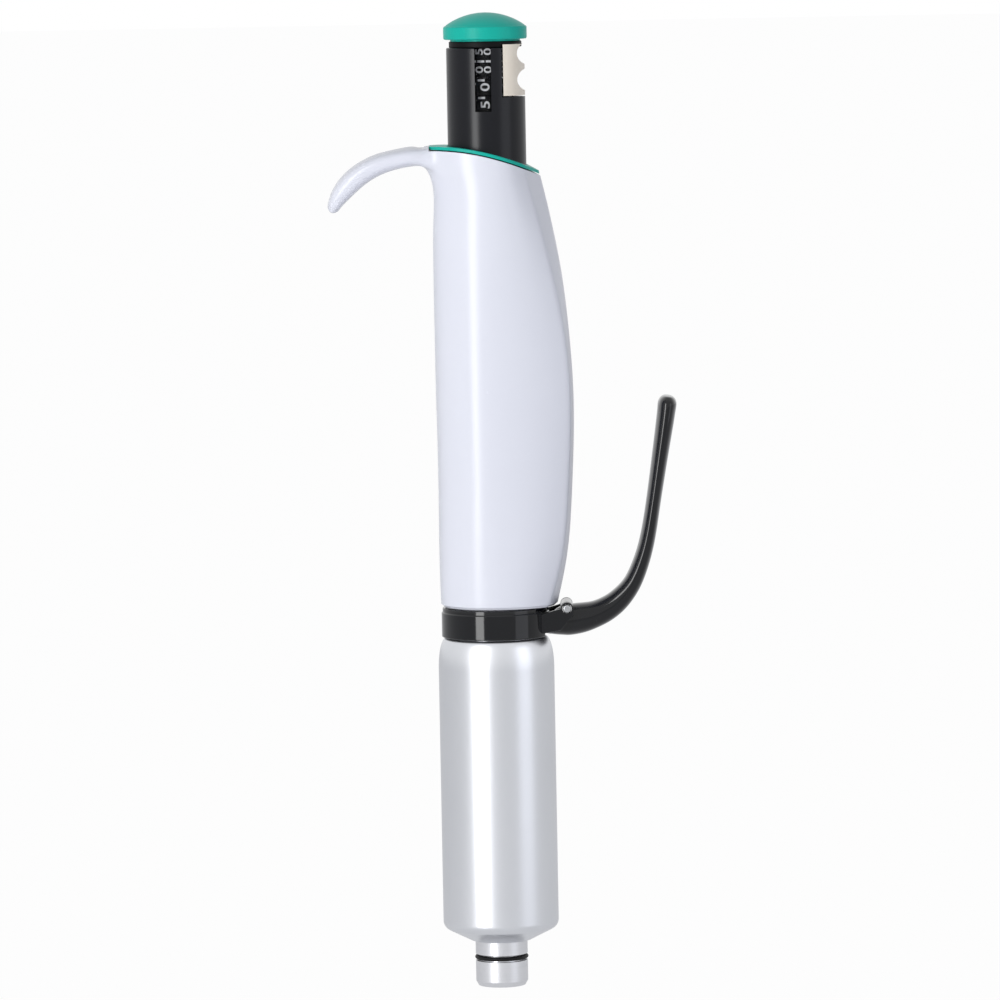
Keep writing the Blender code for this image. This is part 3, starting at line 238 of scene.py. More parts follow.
FINISHES = {
    # ABS, injection moulded and polished: even cool white with a wet, soft-edged shine
    Slot.HANDLE: Finish("polished_white_abs", "#E9EBF4", "#E7E9F3", 0.27, 0.01, ior=1.54, specular=0.4, patch_mm=26,
                        relief_mm=7, relief_height_mm=0.006),
    # ABS moulded in a fine spark-eroded tool: satin green-blue, a touch lighter where it faces the light
    Slot.TEAL: Finish("satin_teal_abs", "#1CBCAB", "#18B09F", 0.36, 0.03, ior=1.54, specular=0.14, patch_mm=7,
                      relief_mm=0.35),
    # Polyamide, polished mould: near black, with sharp bright reflections
    Slot.BLACK_GLOSS: Finish("polished_black_polyamide", "#08090C", "#0B0D12", 0.1, 0.02, ior=1.53, specular=0.27,
                             coat=0.25, patch_mm=6, relief_mm=0.9),
    # Polyamide with glass fibre, fine matt mould: charcoal with a broad soft sheen
    Slot.BLACK_SATIN: Finish("satin_black_polyamide", "#0C0D13", "#0F1118", 0.24, 0.02, ior=1.53, specular=0.26,
                             patch_mm=5, relief_mm=0.3, relief_height_mm=0.006),
    # Acetal, moulded: warm off-white, slightly waxy
    Slot.IVORY: Finish("ivory_acetal", "#FEF5E6", "#F6EBDA", 0.38, 0.03, ior=1.48, patch_mm=4),
    # Aluminium tube, fine blasted and clear anodised: an even silver satin with faint drawing lines
    Slot.SLEEVE: Finish("satin_anodised_aluminium", "#E2E4E8", "#DADCE1", 0.31, 0.02, metallic=1.0, patch_mm=14,
                        relief_mm=0.28, relief_height_mm=0.0035, stretch=(1.0, 1.0, 0.6)),
    # Aluminium, fine turned: silver with faint rings, drawn coarser than a lathe cuts them so that they show
    Slot.CONE: Finish("turned_aluminium", "#E4E5E8", "#D8D9DD", 0.32, 0.05, metallic=1.0, patch_mm=1.6,
                      relief_mm=0.5, relief_height_mm=0.004, stretch=TURNED),
    # Stainless steel, turned and polished: neutral grey with fine rings
    Slot.STEEL: Finish("turned_stainless_steel", "#C6C8CA", "#B6B8BA", 0.24, 0.05, metallic=1.0, patch_mm=1.2,
                       relief_mm=0.4, relief_height_mm=0.004, stretch=TURNED),
    # Spring wire, hard drawn: darker grey with die lines
    Slot.SPRING: Finish("drawn_spring_wire", "#B4B6B8", "#9C9EA0", 0.3, 0.06, metallic=1.0, patch_mm=2,
                        relief_mm=0.3, relief_height_mm=0.004),
    # Brass rod, turned: warm yellow metal with rings and a slight tarnish
    Slot.BRASS: Finish("turned_brass", "#CFA958", "#B98F44", 0.26, 0.06, metallic=1.0, patch_mm=2.5,
                       relief_mm=0.4, relief_height_mm=0.004, stretch=TURNED),
    # Polypropylene, moulded without pigment: milky grey-white, waxy
    Slot.NATURAL: Finish("natural_polypropylene", "#DADCDD", "#CDCFD0", 0.42, 0.04, ior=1.49, patch_mm=6,
                         relief_mm=0.5, relief_height_mm=0.005),
    # Acetal drums, moulded matt black so that the white numbers stand out
    Slot.DRUM: Finish("matt_black_acetal", "#050607", "#08090A", 0.5, ior=1.48, specular=0.15, patch_mm=2,
                      relief_mm=0.25),
    # Nitrile rubber, moulded: soft black, dull with a trace of bloom
    Slot.RUBBER: Finish("black_nitrile_rubber", "#060607", "#0D0D0F", 0.5, 0.08, ior=1.52, specular=0.2, patch_mm=1.4,
                        relief_mm=0.25, relief_height_mm=0.008),
    # Polyethylene beads, sintered: chalky white and coarse to the touch
    Slot.FILTER: Finish("sintered_polyethylene", "#F0EFEA", "#DAD8D0", 0.85, 0.05, ior=1.5, patch_mm=0.5,
                        relief_mm=0.25, relief_height_mm=0.06),
    # Polycarbonate, moulded clear: nearly invisible, with a hard shine
    Slot.WINDOW: Finish("clear_polycarbonate", "#11141A", "#151922", 0.06, 0.02, ior=1.58, alpha=0.06, patch_mm=4,
                        relief_mm=1.5, relief_height_mm=0.001),
}

# White pad-printing ink on the drums: slightly uneven, with a dry edge
INK = Finish("white_printing_ink", "#F2F3F5", "#DFE1E4", 0.5, 0.05, patch_mm=0.5, relief_mm=0.15,
             relief_height_mm=0.003)


@cache
def material_of(finish: Finish) -> bpy.types.Material:
    """Gives the material of a finish, built once."""
    return finish.material()


def deselect() -> None:
    """Deselects every object."""
    for obj in bpy.context.selected_objects:
        obj.select_set(False)


def focus(obj: Piece) -> None:
    """Makes one object the only selected and the active one."""
    deselect()
    obj.select_set(True)
    bpy.context.view_layer.objects.active = obj


def bake_place(obj: Piece) -> Piece:
    """Moves an object's place into its mesh, so that the object sits at the origin.

    Args:
        obj: The object.

    Returns:
        The object.
    """
    focus(obj)
    bpy.ops.object.transform_apply(location=True, rotation=True, scale=True)
    return obj


def fresh(name: str) -> Piece:
    """Names the object that an operator has just added, and bakes its place into its mesh."""
    bpy.context.object.name = name
    return bake_place(bpy.context.object)


def edit(obj: Piece, everything: bool = False) -> None:
    """Enters edit mode on one object, by vertices.

    Args:
        obj: The object.
        everything: Whether all of it is selected.
    """
    focus(obj)
    bpy.ops.object.mode_set(mode="EDIT")
    bpy.ops.mesh.select_mode(type="VERT")
    if everything:
        bpy.ops.mesh.select_all(action="SELECT")


def extrude(x: float, y: float, z: float) -> None:
    """Extrudes the selection by a step in millimetres."""
    bpy.ops.mesh.extrude_region_move(TRANSFORM_OT_translate={"value": (x * MM, y * MM, z * MM)})


def leave() -> None:
    """Leaves edit mode."""
    bpy.ops.object.mode_set(mode="OBJECT")


def pick(obj: Piece, wanted: Callable[[Vector], bool]) -> None:
    """Selects the vertices of the object in edit mode whose place, in millimetres, is wanted.

    Args:
        obj: The object in edit mode.
        wanted: Says whether a place belongs to the selection.
    """
    shape = bmesh.from_edit_mesh(obj.data)
    bpy.ops.mesh.select_all(action="DESELECT")
    for vert in shape.verts:
        vert.select_set(wanted(vert.co / MM))
    shape.select_flush(True)
    bmesh.update_edit_mesh(obj.data)


def tidy_normals(obj: Piece) -> Piece:
    """Merges doubled vertices and turns every face outwards.

    Args:
        obj: The mesh.

    Returns:
        The mesh.
    """
    edit(obj, everything=True)
    bpy.ops.mesh.remove_doubles(threshold=MERGE)
    bpy.ops.mesh.normals_make_consistent(inside=False)
    if bmesh.from_edit_mesh(obj.data).calc_volume(signed=True) < 0:
        bpy.ops.mesh.flip_normals()
    leave()
    return obj


def modify(obj: Piece, kind: str, **settings: object) -> Piece:
    """Adds a modifier and applies it.

    Args:
        obj: The object.
        kind: The modifier's type.
        **settings: Its properties.

    Returns:
        The object.
    """
    focus(obj)
    modifier = obj.modifiers.new(kind.lower(), kind)
    for key, value in settings.items():
        setattr(modifier, key, value)
    bpy.ops.object.modifier_apply(modifier=modifier.name)
    return obj


def combine(obj: Piece, tool: Piece, operation: str = "DIFFERENCE") -> Piece:
    """Cuts, joins or intersects two closed meshes, and removes the second.

    Args:
        obj: The mesh that stays.
        tool: The mesh that is used up.
        operation: DIFFERENCE, UNION or INTERSECT.

    Returns:
        The first mesh.
    """
    modify(obj, "BOOLEAN", operation=operation, solver="EXACT", object=tool)
    bpy.data.objects.remove(tool, do_unlink=True)
    return obj


def bevel(obj: Piece, width: float, segments: int = 3, degrees: float = 50) -> Piece:
    """Rounds the edges that are sharper than an angle.

    Args:
        obj: The mesh.
        width: The bevel's width, in millimetres.
        segments: The number of its facets.
        degrees: The angle.

    Returns:
        The mesh.
    """
    angle = math.radians(degrees)
    return modify(obj, "BEVEL", width=width * MM, segments=segments, limit_method="ANGLE", angle_limit=angle)


def close_seams(obj: Piece) -> None:
    """Merges doubled vertices, fills the slits that a cut leaves and warns of what is still open.

    Args:
        obj: The mesh.
    """
    edit(obj, everything=True)
    bpy.ops.mesh.remove_doubles(threshold=MERGE)
    bpy.ops.mesh.delete_loose()
    bpy.ops.mesh.select_all(action="SELECT")
    bpy.ops.mesh.fill_holes(sides=8)
    still_open = sum(1 for edge in bmesh.from_edit_mesh(obj.data).edges if not edge.is_manifold)
    leave()
    if still_open:
        LOG.warning("%s: %d open edges", obj.name, still_open)


def smooth(obj: Piece) -> Piece:
    """Shades round faces smooth, keeps real edges sharp and flat faces flat.

    Args:
        obj: The mesh.

    Returns:
        The mesh.
    """
    close_seams(obj)
    focus(obj)
    bpy.ops.object.shade_smooth_by_angle(angle=SMOOTH_ANGLE)
    return modify(obj, "WEIGHTED_NORMAL", keep_sharp=True, weight=80)


def rounded(corners: Sequence[Point2], steps: int = 5) -> list[tuple[float, float]]:
    """Turns an open outline into points, with an arc at each corner that has a radius.

    Args:
        corners: (radius, height) or (radius, height, fillet) points, in order.
        steps: The number of facets in each arc.

    Returns:
        The outline's points.
    """
    points: list[tuple[float, float]] = []
    last = len(corners) - 1
    for i, corner in enumerate(corners):
        here = Vector(corner[:2])
        if len(corner) < 3 or i in (0, last):
            points.append((here.x, here.y))
            continue
        before = (Vector(corners[i - 1][:2]) - here).normalized()
        after = (Vector(corners[i + 1][:2]) - here).normalized()
        half = before.angle(after) / 2
        centre = here + (before + after).normalized() * corner[2] / math.sin(half)
        first = (here + before * corner[2] / math.tan(half) - centre).normalized()
        final = (here + after * corner[2] / math.tan(half) - centre).normalized()
        for step in range(steps + 1):
            points.append(tuple(centre + first.slerp(final, step / steps) * corner[2]))
    return points


def lathe(name: str, profile: Sequence[Point2], closed: bool = True, segments: int = ROUND_SEGMENTS) -> Piece:
    """Turns an outline about the axis: a circle is extruded and scaled from point to point.

    Args:
        name: The piece's name.
        profile: (radius, height) points of the outline, none of them on the axis.
        closed: Whether the outline joins up with its start, as a ring's does, or ends in flat faces.
        segments: The number of facets round the axis.

    Returns:
        The turned piece.
    """
    radius, height = profile[0]
    deselect()
    bpy.ops.mesh.primitive_circle_add(
        vertices=segments, radius=radius * MM, location=(0, 0, height * MM), fill_type="NOTHING"
    )
    obj = fresh(name)
    edit(obj, everything=True)
    for next_radius, next_height in profile[1:]:
        extrude(0, 0, next_height - height)
        share = next_radius / radius
        bpy.ops.transform.resize(value=(share, share, 1), center_override=(0, 0, next_height * MM))
        radius, height = next_radius, next_height
    if closed:
        shape = bmesh.from_edit_mesh(obj.data)
        for edge in shape.edges:
            edge.select_set(edge.is_boundary)
        bmesh.update_edit_mesh(obj.data)
        bpy.ops.mesh.select_mode(type="EDGE")
        bpy.ops.mesh.bridge_edge_loops()
    else:
        bpy.ops.mesh.edge_face_add()
        first_radius, first_height = profile[0]
        pick(obj, lambda p: abs(p.z - first_height) < 0.001 and abs(p.xy.length - first_radius) < 0.01)
        bpy.ops.mesh.edge_face_add()
    leave()
    return tidy_normals(obj)


def tube(name: str, outer: float, inner: float, bottom: float, top: float, edge: float = 0.0) -> Piece:
    """A turned tube or ring.

    Args:
        name: The piece's name.
        outer: Its outer radius.
        inner: Its inner radius.
        bottom: Its lower end's height.
        top: Its upper end's height.
        edge: The rounding of its outer corners.

    Returns:
        The tube.
    """
    corners = [(inner, top), (outer, top, edge), (outer, bottom, edge), (inner, bottom)]
    outline = rounded(corners) if edge else [corner[:2] for corner in corners]
    return lathe(name, outline)


def block(name: str, low: Point3, high: Point3) -> Piece:
    """A plain box, used as a cutter.

    Args:
        name: Its name.
        low: Its lowest corner.
        high: Its highest corner.

    Returns:
        The box.
    """
    deselect()
    centre = [(a + b) / 2 * MM for a, b in zip(low, high)]
    size = [(b - a) * MM for a, b in zip(low, high)]
    bpy.ops.mesh.primitive_cube_add(size=1, location=centre, scale=size)
    return fresh(name)


def cross_rod(name: str, radius: float, x: float, z: float, half: float, edge: float = 0.0) -> Piece:
    """A round rod along Y, such as a pin or the cutter of a groove.

    Args:
        name: Its name.
        radius: Its radius.
        x: Its axis's place along X.
        z: Its axis's height.
        half: Half of its length.
        edge: The rounding of its ends.

    Returns:
        The rod.
    """
    deselect()
    bpy.ops.mesh.primitive_cylinder_add(
        vertices=ROD_SEGMENTS, radius=radius * MM, depth=2 * half * MM, location=(x * MM, 0, z * MM),
        rotation=(math.pi / 2, 0, 0),
    )
    rod = fresh(name)
    return bevel(rod, edge, segments=4) if edge else rod


def smooth_rows(rows: Sequence[Point2], steps: int) -> list[tuple[float, ...]]:
    """Reads rows of numbers from a smooth curve through the given rows.

    Args:
        rows: The rows that the curve passes through.
        steps: The number of new rows for each span.

    Returns:
        The finer rows.
    """
    out: list[tuple[float, ...]] = []
    last = len(rows) - 1
    for i in range(last):
        four = [rows[min(max(k, 0), last)] for k in (i - 1, i, i + 1, i + 2)]
        for step in range(steps):
            t = step / steps
            out.append(tuple(
                0.5 * (2 * b + (c - a) * t + (2 * a - 5 * b + 4 * c - d) * t * t + (3 * b - a - 3 * c + d) * t**3)
                for a, b, c, d in zip(*four)
            ))
    out.append(tuple(rows[last]))
    return out


def cage(name: str, rings: Sequence[Sequence[Point3]]) -> Piece:
    """Extrudes a polygon from ring to ring and sets each ring's points, as a cage for a soft form.

    Args:
        name: The piece's name.
        rings: Rings of equal numbers of points, in millimetres, in order.

    Returns:
        The closed cage.
    """
    count = len(rings[0])
    spacing = 10 * MM
    deselect()
    bpy.ops.mesh.primitive_circle_add(vertices=count, radius=spacing, fill_type="NGON", location=(0, 0, 0))
    obj = fresh(name)
    edit(obj, everything=True)
    for _ in rings[1:]:
        extrude(0, 0, spacing / MM)
    leave()
    for vert in obj.data.vertices:
        level = round(vert.co.z / spacing)
        turn = math.atan2(vert.co.y, vert.co.x) / math.tau * count
        vert.co = Vector(rings[level][round(turn) % count]) * MM
    return obj


def subdivide_to_fit(obj: Piece, levels: int, rounds: int = 4) -> Piece:
    """Subdivides a cage so that the smooth surface passes through the cage's own points.

    Args:
        obj: The cage.
        levels: The number of subdivisions.
        rounds: How often the cage is corrected.

    Returns:
        The smooth piece.
    """
    targets = [vert.co.copy() for vert in obj.data.vertices]
    probe = obj.modifiers.new("probe", "SUBSURF")
    probe.levels = probe.render_levels = 1
    for _ in range(rounds):
        surface = obj.evaluated_get(bpy.context.evaluated_depsgraph_get()).data
        reached = [surface.vertices[i].co.copy() for i in range(len(targets))]
        for vert, target, place in zip(obj.data.vertices, targets, reached):
            vert.co += target - place
        obj.data.update()
        bpy.context.view_layer.update()
    obj.modifiers.remove(probe)
    modify(obj, "SUBSURF", levels=levels, render_levels=levels)
    return tidy_normals(obj)


def settle(obj: Piece, body: str, slot: Slot, *nodes: str, finish: Finish | None = None) -> Piece:
    """Finishes a piece: its material, the body it rides on and the CAD nodes that it stands for.

    Args:
        obj: The piece.
        body: The CAD body that it moves with.
        slot: The record's material slot.
        *nodes: The CAD nodes that it replaces.
        finish: The finish, where it isn't the slot's own.

    Returns:
        The piece.
    """
    obj.data.materials.clear()
    obj.data.materials.append(material_of(finish or FINISHES[slot]))
    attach(obj, body)
    if nodes:
        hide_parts(*nodes)
    LOG.info("%s: %d faces, rides on %s, stands for %s", obj.name, len(obj.data.polygons), body, ", ".join(nodes))
    return obj


@dataclass
class LowerEnd:
    """Tip cone with its rubber ring and filter, and the ejector sleeve over the cylinder."""

    cone_r: float = 6.0
    cone_end_r: float = 5.4
    cone_chamfer: float = 1.1
    cone_length: float = 14.3
    flange_r: float = 10.8
    flange: float = 1.4
    bore_r: float = 1.6
    filter_r: float = 3.9
    filter_length: float = 5.0
    ring_z: float = 6.6
    ring_wire_r: float = 0.45
    ring_proud: float = 0.15
    sleeve_r: float = 13.3
    wall: float = 0.95
    neck_r: float = 11.0
    neck_top: float = 83.1
    shoulder_top: float = 80.8
    shoulder: float = 7.0
    shoulder_in: float = 1.9
    hole_r: float = 6.8
    end_z: float = 10.5
    end_cone: float = 3.3
    corner_r: float = 2.2
    plate: float = 1.0
    plate_hole_r: float = 7.0

    def build(self) -> None:
        """Builds and dresses the lower end."""
        half_groove = self.ring_wire_r + GAP
        floor_r = self.cone_r + self.ring_proud - 2 * self.ring_wire_r - GAP
        cone_top = self.cone_length + self.flange
        seat_r = self.filter_r + GAP
        seat_z = self.filter_length + GAP
        cone = lathe("turned_tip_cone", rounded([
            (self.bore_r, cone_top),
            (self.flange_r, cone_top, 0.2),
            (self.flange_r, self.cone_length, 0.2),
            (self.cone_r, self.cone_length, 0.15),
            (self.cone_r, self.ring_z + half_groove, 0.08),
            (floor_r, self.ring_z + half_groove),
            (floor_r, self.ring_z - half_groove),
            (self.cone_r, self.ring_z - half_groove, 0.08),
            (self.cone_r, self.cone_chamfer, 0.5),
            (self.cone_end_r, 0, 0.25),
            (seat_r, 0, 0.1),
            (seat_r, seat_z),
            (self.bore_r, seat_z),
        ]))
        settle(smooth(cone), "root", Slot.CONE, "tip_cone")
        plug = lathe("sintered_filter", rounded([
            (0.4, self.filter_length),
            (self.filter_r, self.filter_length, 0.1),
            (self.filter_r, 0, 0.15),
            (0.4, 0),
        ]), closed=False)
        settle(smooth(plug), "root", Slot.FILTER, "tip_filter")
        deselect()
        bpy.ops.mesh.primitive_torus_add(
            major_segments=ROUND_SEGMENTS,
            minor_segments=24,
            major_radius=(self.cone_r + self.ring_proud - self.ring_wire_r) * MM,
            minor_radius=self.ring_wire_r * MM,
            location=(0, 0, self.ring_z * MM),
        )
        ring = self.mould_line(fresh("tip_cone_rubber_ring"))
        settle(smooth(ring), "root", Slot.RUBBER, "tip_cone_o_ring")
        self.build_sleeve()

    def mould_line(self, ring: Piece) -> Piece:
        """Swells the ring's outermost faces by a trace, as the mould's parting line does.

        Args:
            ring: The rubber ring.

        Returns:
            The ring.
        """
        edit(ring)
        outermost = self.cone_r + self.ring_proud - 0.01
        pick(ring, lambda p: p.xy.length > outermost)
        bpy.ops.transform.resize(value=(1.004, 1.004, 1), center_override=(0, 0, self.ring_z * MM))
        leave()
        return ring

    def build_sleeve(self) -> None:
        """Builds the drawn sleeve, round on top and with a shallow cone and a hole below."""
        inner_r = self.sleeve_r - self.wall
        neck_in_r = self.neck_r - self.wall
        shoulder_z = self.shoulder_top - self.shoulder
        corner_z = self.end_z + self.end_cone
        arch_steps = 14
        top_r = self.sleeve_r - self.shoulder_in
        outer_arch = []
        inner_arch = []
        for i in range(arch_steps + 1):
            angle = math.pi / 2 * i / arch_steps
            drop = 1 - math.cos(angle)
            rise = math.sin(angle)
            outer_arch.append((self.sleeve_r - self.shoulder_in * drop, shoulder_z + self.shoulder * rise))
            inner_arch.append((inner_r - self.shoulder_in * drop, shoulder_z + (self.shoulder - self.wall) * rise))
        outline = [(self.neck_r, self.neck_top), (self.neck_r, self.shoulder_top), (top_r - 0.05, self.shoulder_top)]
        outline += list(reversed(outer_arch))
        outline += rounded([
            (self.sleeve_r, shoulder_z),
            (self.sleeve_r, corner_z, self.corner_r),
            (self.hole_r, self.end_z, 0.12),
            (self.hole_r, self.end_z + self.wall, 0.12),
            (inner_r, corner_z + self.wall / 2, self.corner_r - self.wall),
            (inner_r, shoulder_z),
        ], 8)[1:-1]
        outline += inner_arch
        outline += [
            (neck_in_r, self.shoulder_top - self.wall),
            (neck_in_r, self.neck_top - self.plate),
            (self.plate_hole_r, self.neck_top - self.plate),
            (self.plate_hole_r, self.neck_top),
        ]
        settle(smooth(lathe("drawn_ejector_sleeve", outline)), "sleeve", Slot.SLEEVE, "ejector_sleeve")


@dataclass
class Handle:
    """White moulded handle with its finger hook, and the teal plate that covers its top."""

    bottom: float = 88.0
    top: float = 193.4
    floor: float = 2.7
    deck_z: float = 176.0
    crest_x: float = -12.0
    fall: float = 0.0107
    plate: float = 0.7
    plate_lift: float = 0.4
    slit: float = 0.1
    hook_top: float = 193.7
    plate_left: float = -13.2
    plate_inset: float = 0.12
    plate_from: float = 180.0
    plate_edge: float = 0.15
    hook_half: float = 7.5
    # Place across the hook and share of its thickness there
    hook_columns: tuple[Point2, ...] = ((-1.0, 0.52), (-0.58, 0.9), (0.0, 1.0), (0.58, 0.9), (1.0, 0.52))
    spigot_r: float = 9.3
    tube_r: float = 10.8
    thread_r: float = 6.0
    barrel_hole_r: float = 9.25
    bush_top: float = 185.8
    crease_weight: float = 0.62
    crease_share: float = 0.62
    back_fall: float = 2.2
    crease_points: tuple[int, int] = (2, 14)
    front_angles: tuple[float, ...] = (0, 18, 36, 62, 90)
    stations: list[tuple[float, ...]] = field(default_factory=lambda: [
        # height, reach to -X, reach to +X, inset of the rear crease, half depth
        (88.0, 11.7, 13.7, 2.1, 11.7),
        (88.55, 12.3, 14.3, 2.1, 12.2),
        (90.2, 12.5, 14.75, 2.0, 12.35),
        (100.0, 12.65, 16.8, 1.4, 12.9),
        (112.0, 12.6, 17.95, 1.2, 13.3),
        (124.0, 12.6, 18.6, 1.1, 13.6),
        (137.0, 12.75, 18.8, 1.05, 13.7),
        (151.0, 12.8, 18.0, 1.3, 13.6),
        (164.0, 12.8, 16.6, 2.2, 13.4),
        (174.0, 12.7, 14.85, 2.75, 13.15),
        (180.5, 12.4, 13.5, 3.1, 12.95),
        (185.2, 12.7, 12.4, 3.2, 12.85),
        (188.5, 14.1, 11.8, 3.1, 12.8),
        (193.45, 14.6, 11.5, 3.0, 12.7),
        (196.5, 14.6, 11.2, 3.0, 12.6),
    ])
    hook_stations: list[tuple[float, ...]] = field(default_factory=lambda: [
        # x, z, thickness, share of the half width
        (-16.5, 191.5, 4.5, 1.0),
        (-20.0, 191.05, 4.5, 0.99),
        (-24.3, 190.0, 4.8, 0.97),
        (-28.1, 188.2, 5.0, 0.94),
        (-31.1, 185.95, 5.0, 0.89),
        (-33.6, 183.2, 4.4, 0.81),
        (-35.1, 180.8, 3.2, 0.7),
        (-35.7, 179.3, 1.8, 0.55),
    ])

    def section(self, station: Sequence[float], inset: float = 0.0) -> list[Point3]:
        """One level outline: round in front, full flanks and a narrow back behind a crease.

        Args:
            station: Height, reach to -X, reach to +X, inset of the crease and half depth.
            inset: How far the outline shrinks, as for the cover plate.

        Returns:
            The ring of points, starting at +X.
        """
        z, left, right, crease, depth = station
        left, right, depth = left - inset, right - inset, depth - inset
        crease_x = right - crease
        crease_y = depth * self.crease_share
        half: list[tuple[float, float]] = []
        for degrees in self.front_angles:
            angle = math.radians(degrees)
            half.append((-left * math.cos(angle), depth * math.sin(angle)))
        back_y = 0.25 * crease_y + 0.5 * (crease_y - self.back_fall * crease)
        half.append((0.5 * self.crease_share * crease_x + 0.25 * crease_x, 0.75 * depth + 0.25 * crease_y))
        half.append((crease_x, crease_y))
        half.append((0.25 * crease_x + 0.75 * right, back_y))
        half.append((right, 0.0))
        ring = list(reversed(half)) + [(x, -y) for x, y in half[1:-1]]
        return [(x, y, z) for x, y in ring]

    def top_height(self, x: float) -> float:
        """Height of the finished top over a point: level by the hook, falling towards +X."""
        return self.top - self.fall * max(x - self.crest_x, 0.0) ** 2

    def roof(self, name: str, left: float, drop: float, rise: float) -> Piece:
        """A solid that starts a given depth below the handle's curved top.

        Args:
            name: Its name.
            left: Where it starts, in x.
            drop: How far its lower face lies below the finished top.
            rise: Its height.

        Returns:
            The solid.
        """
        right = REACH / 2
        deselect()
        bpy.ops.mesh.primitive_grid_add(x_subdivisions=96, y_subdivisions=1, size=2 * MM)
        obj = fresh(name)
        for vert in obj.data.vertices:
            x = left + (right - left) * (vert.co.x / MM + 1) / 2
            vert.co = Vector((x, math.copysign(REACH, vert.co.y), self.top_height(x) - drop)) * MM
        edit(obj, everything=True)
        extrude(0, 0, rise)
        leave()
        return tidy_normals(obj)

    def body(self, name: str, stations: Sequence[Sequence[float]], inset: float = 0.0) -> Piece:
        """The handle's cage between stations, with its rear creases and its two ends kept crisp.

        Args:
            name: The piece's name.
            stations: The level outlines that it passes through.
            inset: How far the outlines shrink.

        Returns:
            The cage.
        """
        obj = cage(name, [self.section(station, inset) for station in stations])
        ends = (stations[0][0], stations[-1][0])
        edit(obj)
        for height in ends:
            pick(obj, lambda p: abs(p.z - height) < 0.01)
            bpy.ops.transform.edge_crease(value=1.0)
        creases = {
            (round(ring[k][0], 2), round(abs(ring[k][1]), 2))
            for k in self.crease_points
            for ring in (self.section(station, inset) for station in stations)
        }
        pick(obj, lambda p: (round(p.x, 2), round(abs(p.y), 2)) in creases)
        shape = bmesh.from_edit_mesh(obj.data)
        for edge in shape.edges:
            low, high = edge.verts
            if abs(low.co.z - high.co.z) < 0.01 * MM:
                edge.select_set(False)
        bmesh.update_edit_mesh(obj.data)
        bpy.ops.mesh.select_mode(type="EDGE")
        bpy.ops.transform.edge_crease(value=self.crease_weight)
        leave()
        return obj

    def pull_hook(self, obj: Piece) -> None:
        """Extrudes the finger hook out of the cage's front faces, station by station.

        Args:
            obj: The handle's cage.
        """
        lower, upper = self.stations[-3:-1]
        play = 0.1
        front_y = lower[4] * math.sin(math.radians(self.front_angles[2])) + play
        edit(obj)
        pick(obj, lambda p: p.x < 0 and abs(p.y) < front_y and lower[0] - play < p.z < upper[0] + play)
        bpy.ops.mesh.select_mode(type="FACE")
        path = [Vector((x, z)) for x, z, _, _ in self.hook_stations]
        last = len(path) - 1
        for i, (x, z, thickness, share) in enumerate(self.hook_stations):
            extrude(-1, 0, 0)
            along = (path[min(i + 1, last)] - path[max(i - 1, 0)]).normalized()
            upward = Vector((along.y, -along.x))
            shape = bmesh.from_edit_mesh(obj.data)
            chosen = sorted((vert for vert in shape.verts if vert.select), key=lambda vert: vert.co.z)
            count = len(self.hook_columns)
            for row, side in ((chosen[:count], -1), (chosen[count:], 1)):
                for vert, (column, thin) in zip(sorted(row, key=lambda vert: vert.co.y), self.hook_columns):
                    offset = upward * (thickness / 2 * thin) * side
                    vert.co = Vector((x + offset.x, column * share * self.hook_half, z + offset.y)) * MM
            bmesh.update_edit_mesh(obj.data)
        leave()

    def build(self) -> None:
        """Builds and dresses the handle and its cover plate."""
        floor_top = self.bottom + GAP
        spigot_z = floor_top - self.floor
        shell = self.body("moulded_handle", self.stations)
        self.pull_hook(shell)
        subdivide_to_fit(shell, 3)
        spigot = tube("handle_spigot", self.spigot_r, self.thread_r + GAP, spigot_z, self.bottom + 1.0)
        tube_r = self.tube_r + GAP
        bores = lathe("handle_bores", [
            (self.thread_r + GAP, spigot_z - OVER),
            (self.thread_r + GAP, floor_top),
            (tube_r, floor_top),
            (tube_r, self.bush_top + GAP),
            (self.barrel_hole_r + GAP, self.bush_top + GAP),
            (self.barrel_hole_r + GAP, self.top + 2 * OVER),
        ], closed=False, segments=96)
        # Both roofs are cut before the bores: the exact solver has closed the bores in the other order
        edge_x = self.plate_left - self.slit
        combine(shell, self.roof("handle_roof", edge_x, self.plate + GAP - self.plate_lift, REACH))
        combine(shell, block("hook_roof", (-REACH, -REACH, self.hook_top), (edge_x, REACH, self.top + REACH)))
        combine(shell, spigot, "UNION")
        combine(shell, bores)
        settle(smooth(shell), "root", Slot.HANDLE, "handle_shell")

        above = [station for station in self.stations if station[0] > self.plate_from]
        plate = self.body("cover_plate", above, self.plate_inset)
        subdivide_to_fit(plate, 3)
        slab = self.roof("cover_slab", self.plate_left, self.plate - self.plate_lift, self.plate)
        combine(plate, slab, "INTERSECT")
        hole = lathe("cover_hole", [
            (self.barrel_hole_r, self.deck_z),
            (self.barrel_hole_r, self.top + OVER),
        ], closed=False)
        combine(plate, hole)
        bevel(plate, self.plate_edge)
        settle(smooth(plate), "root", Slot.TEAL, "top_cover")


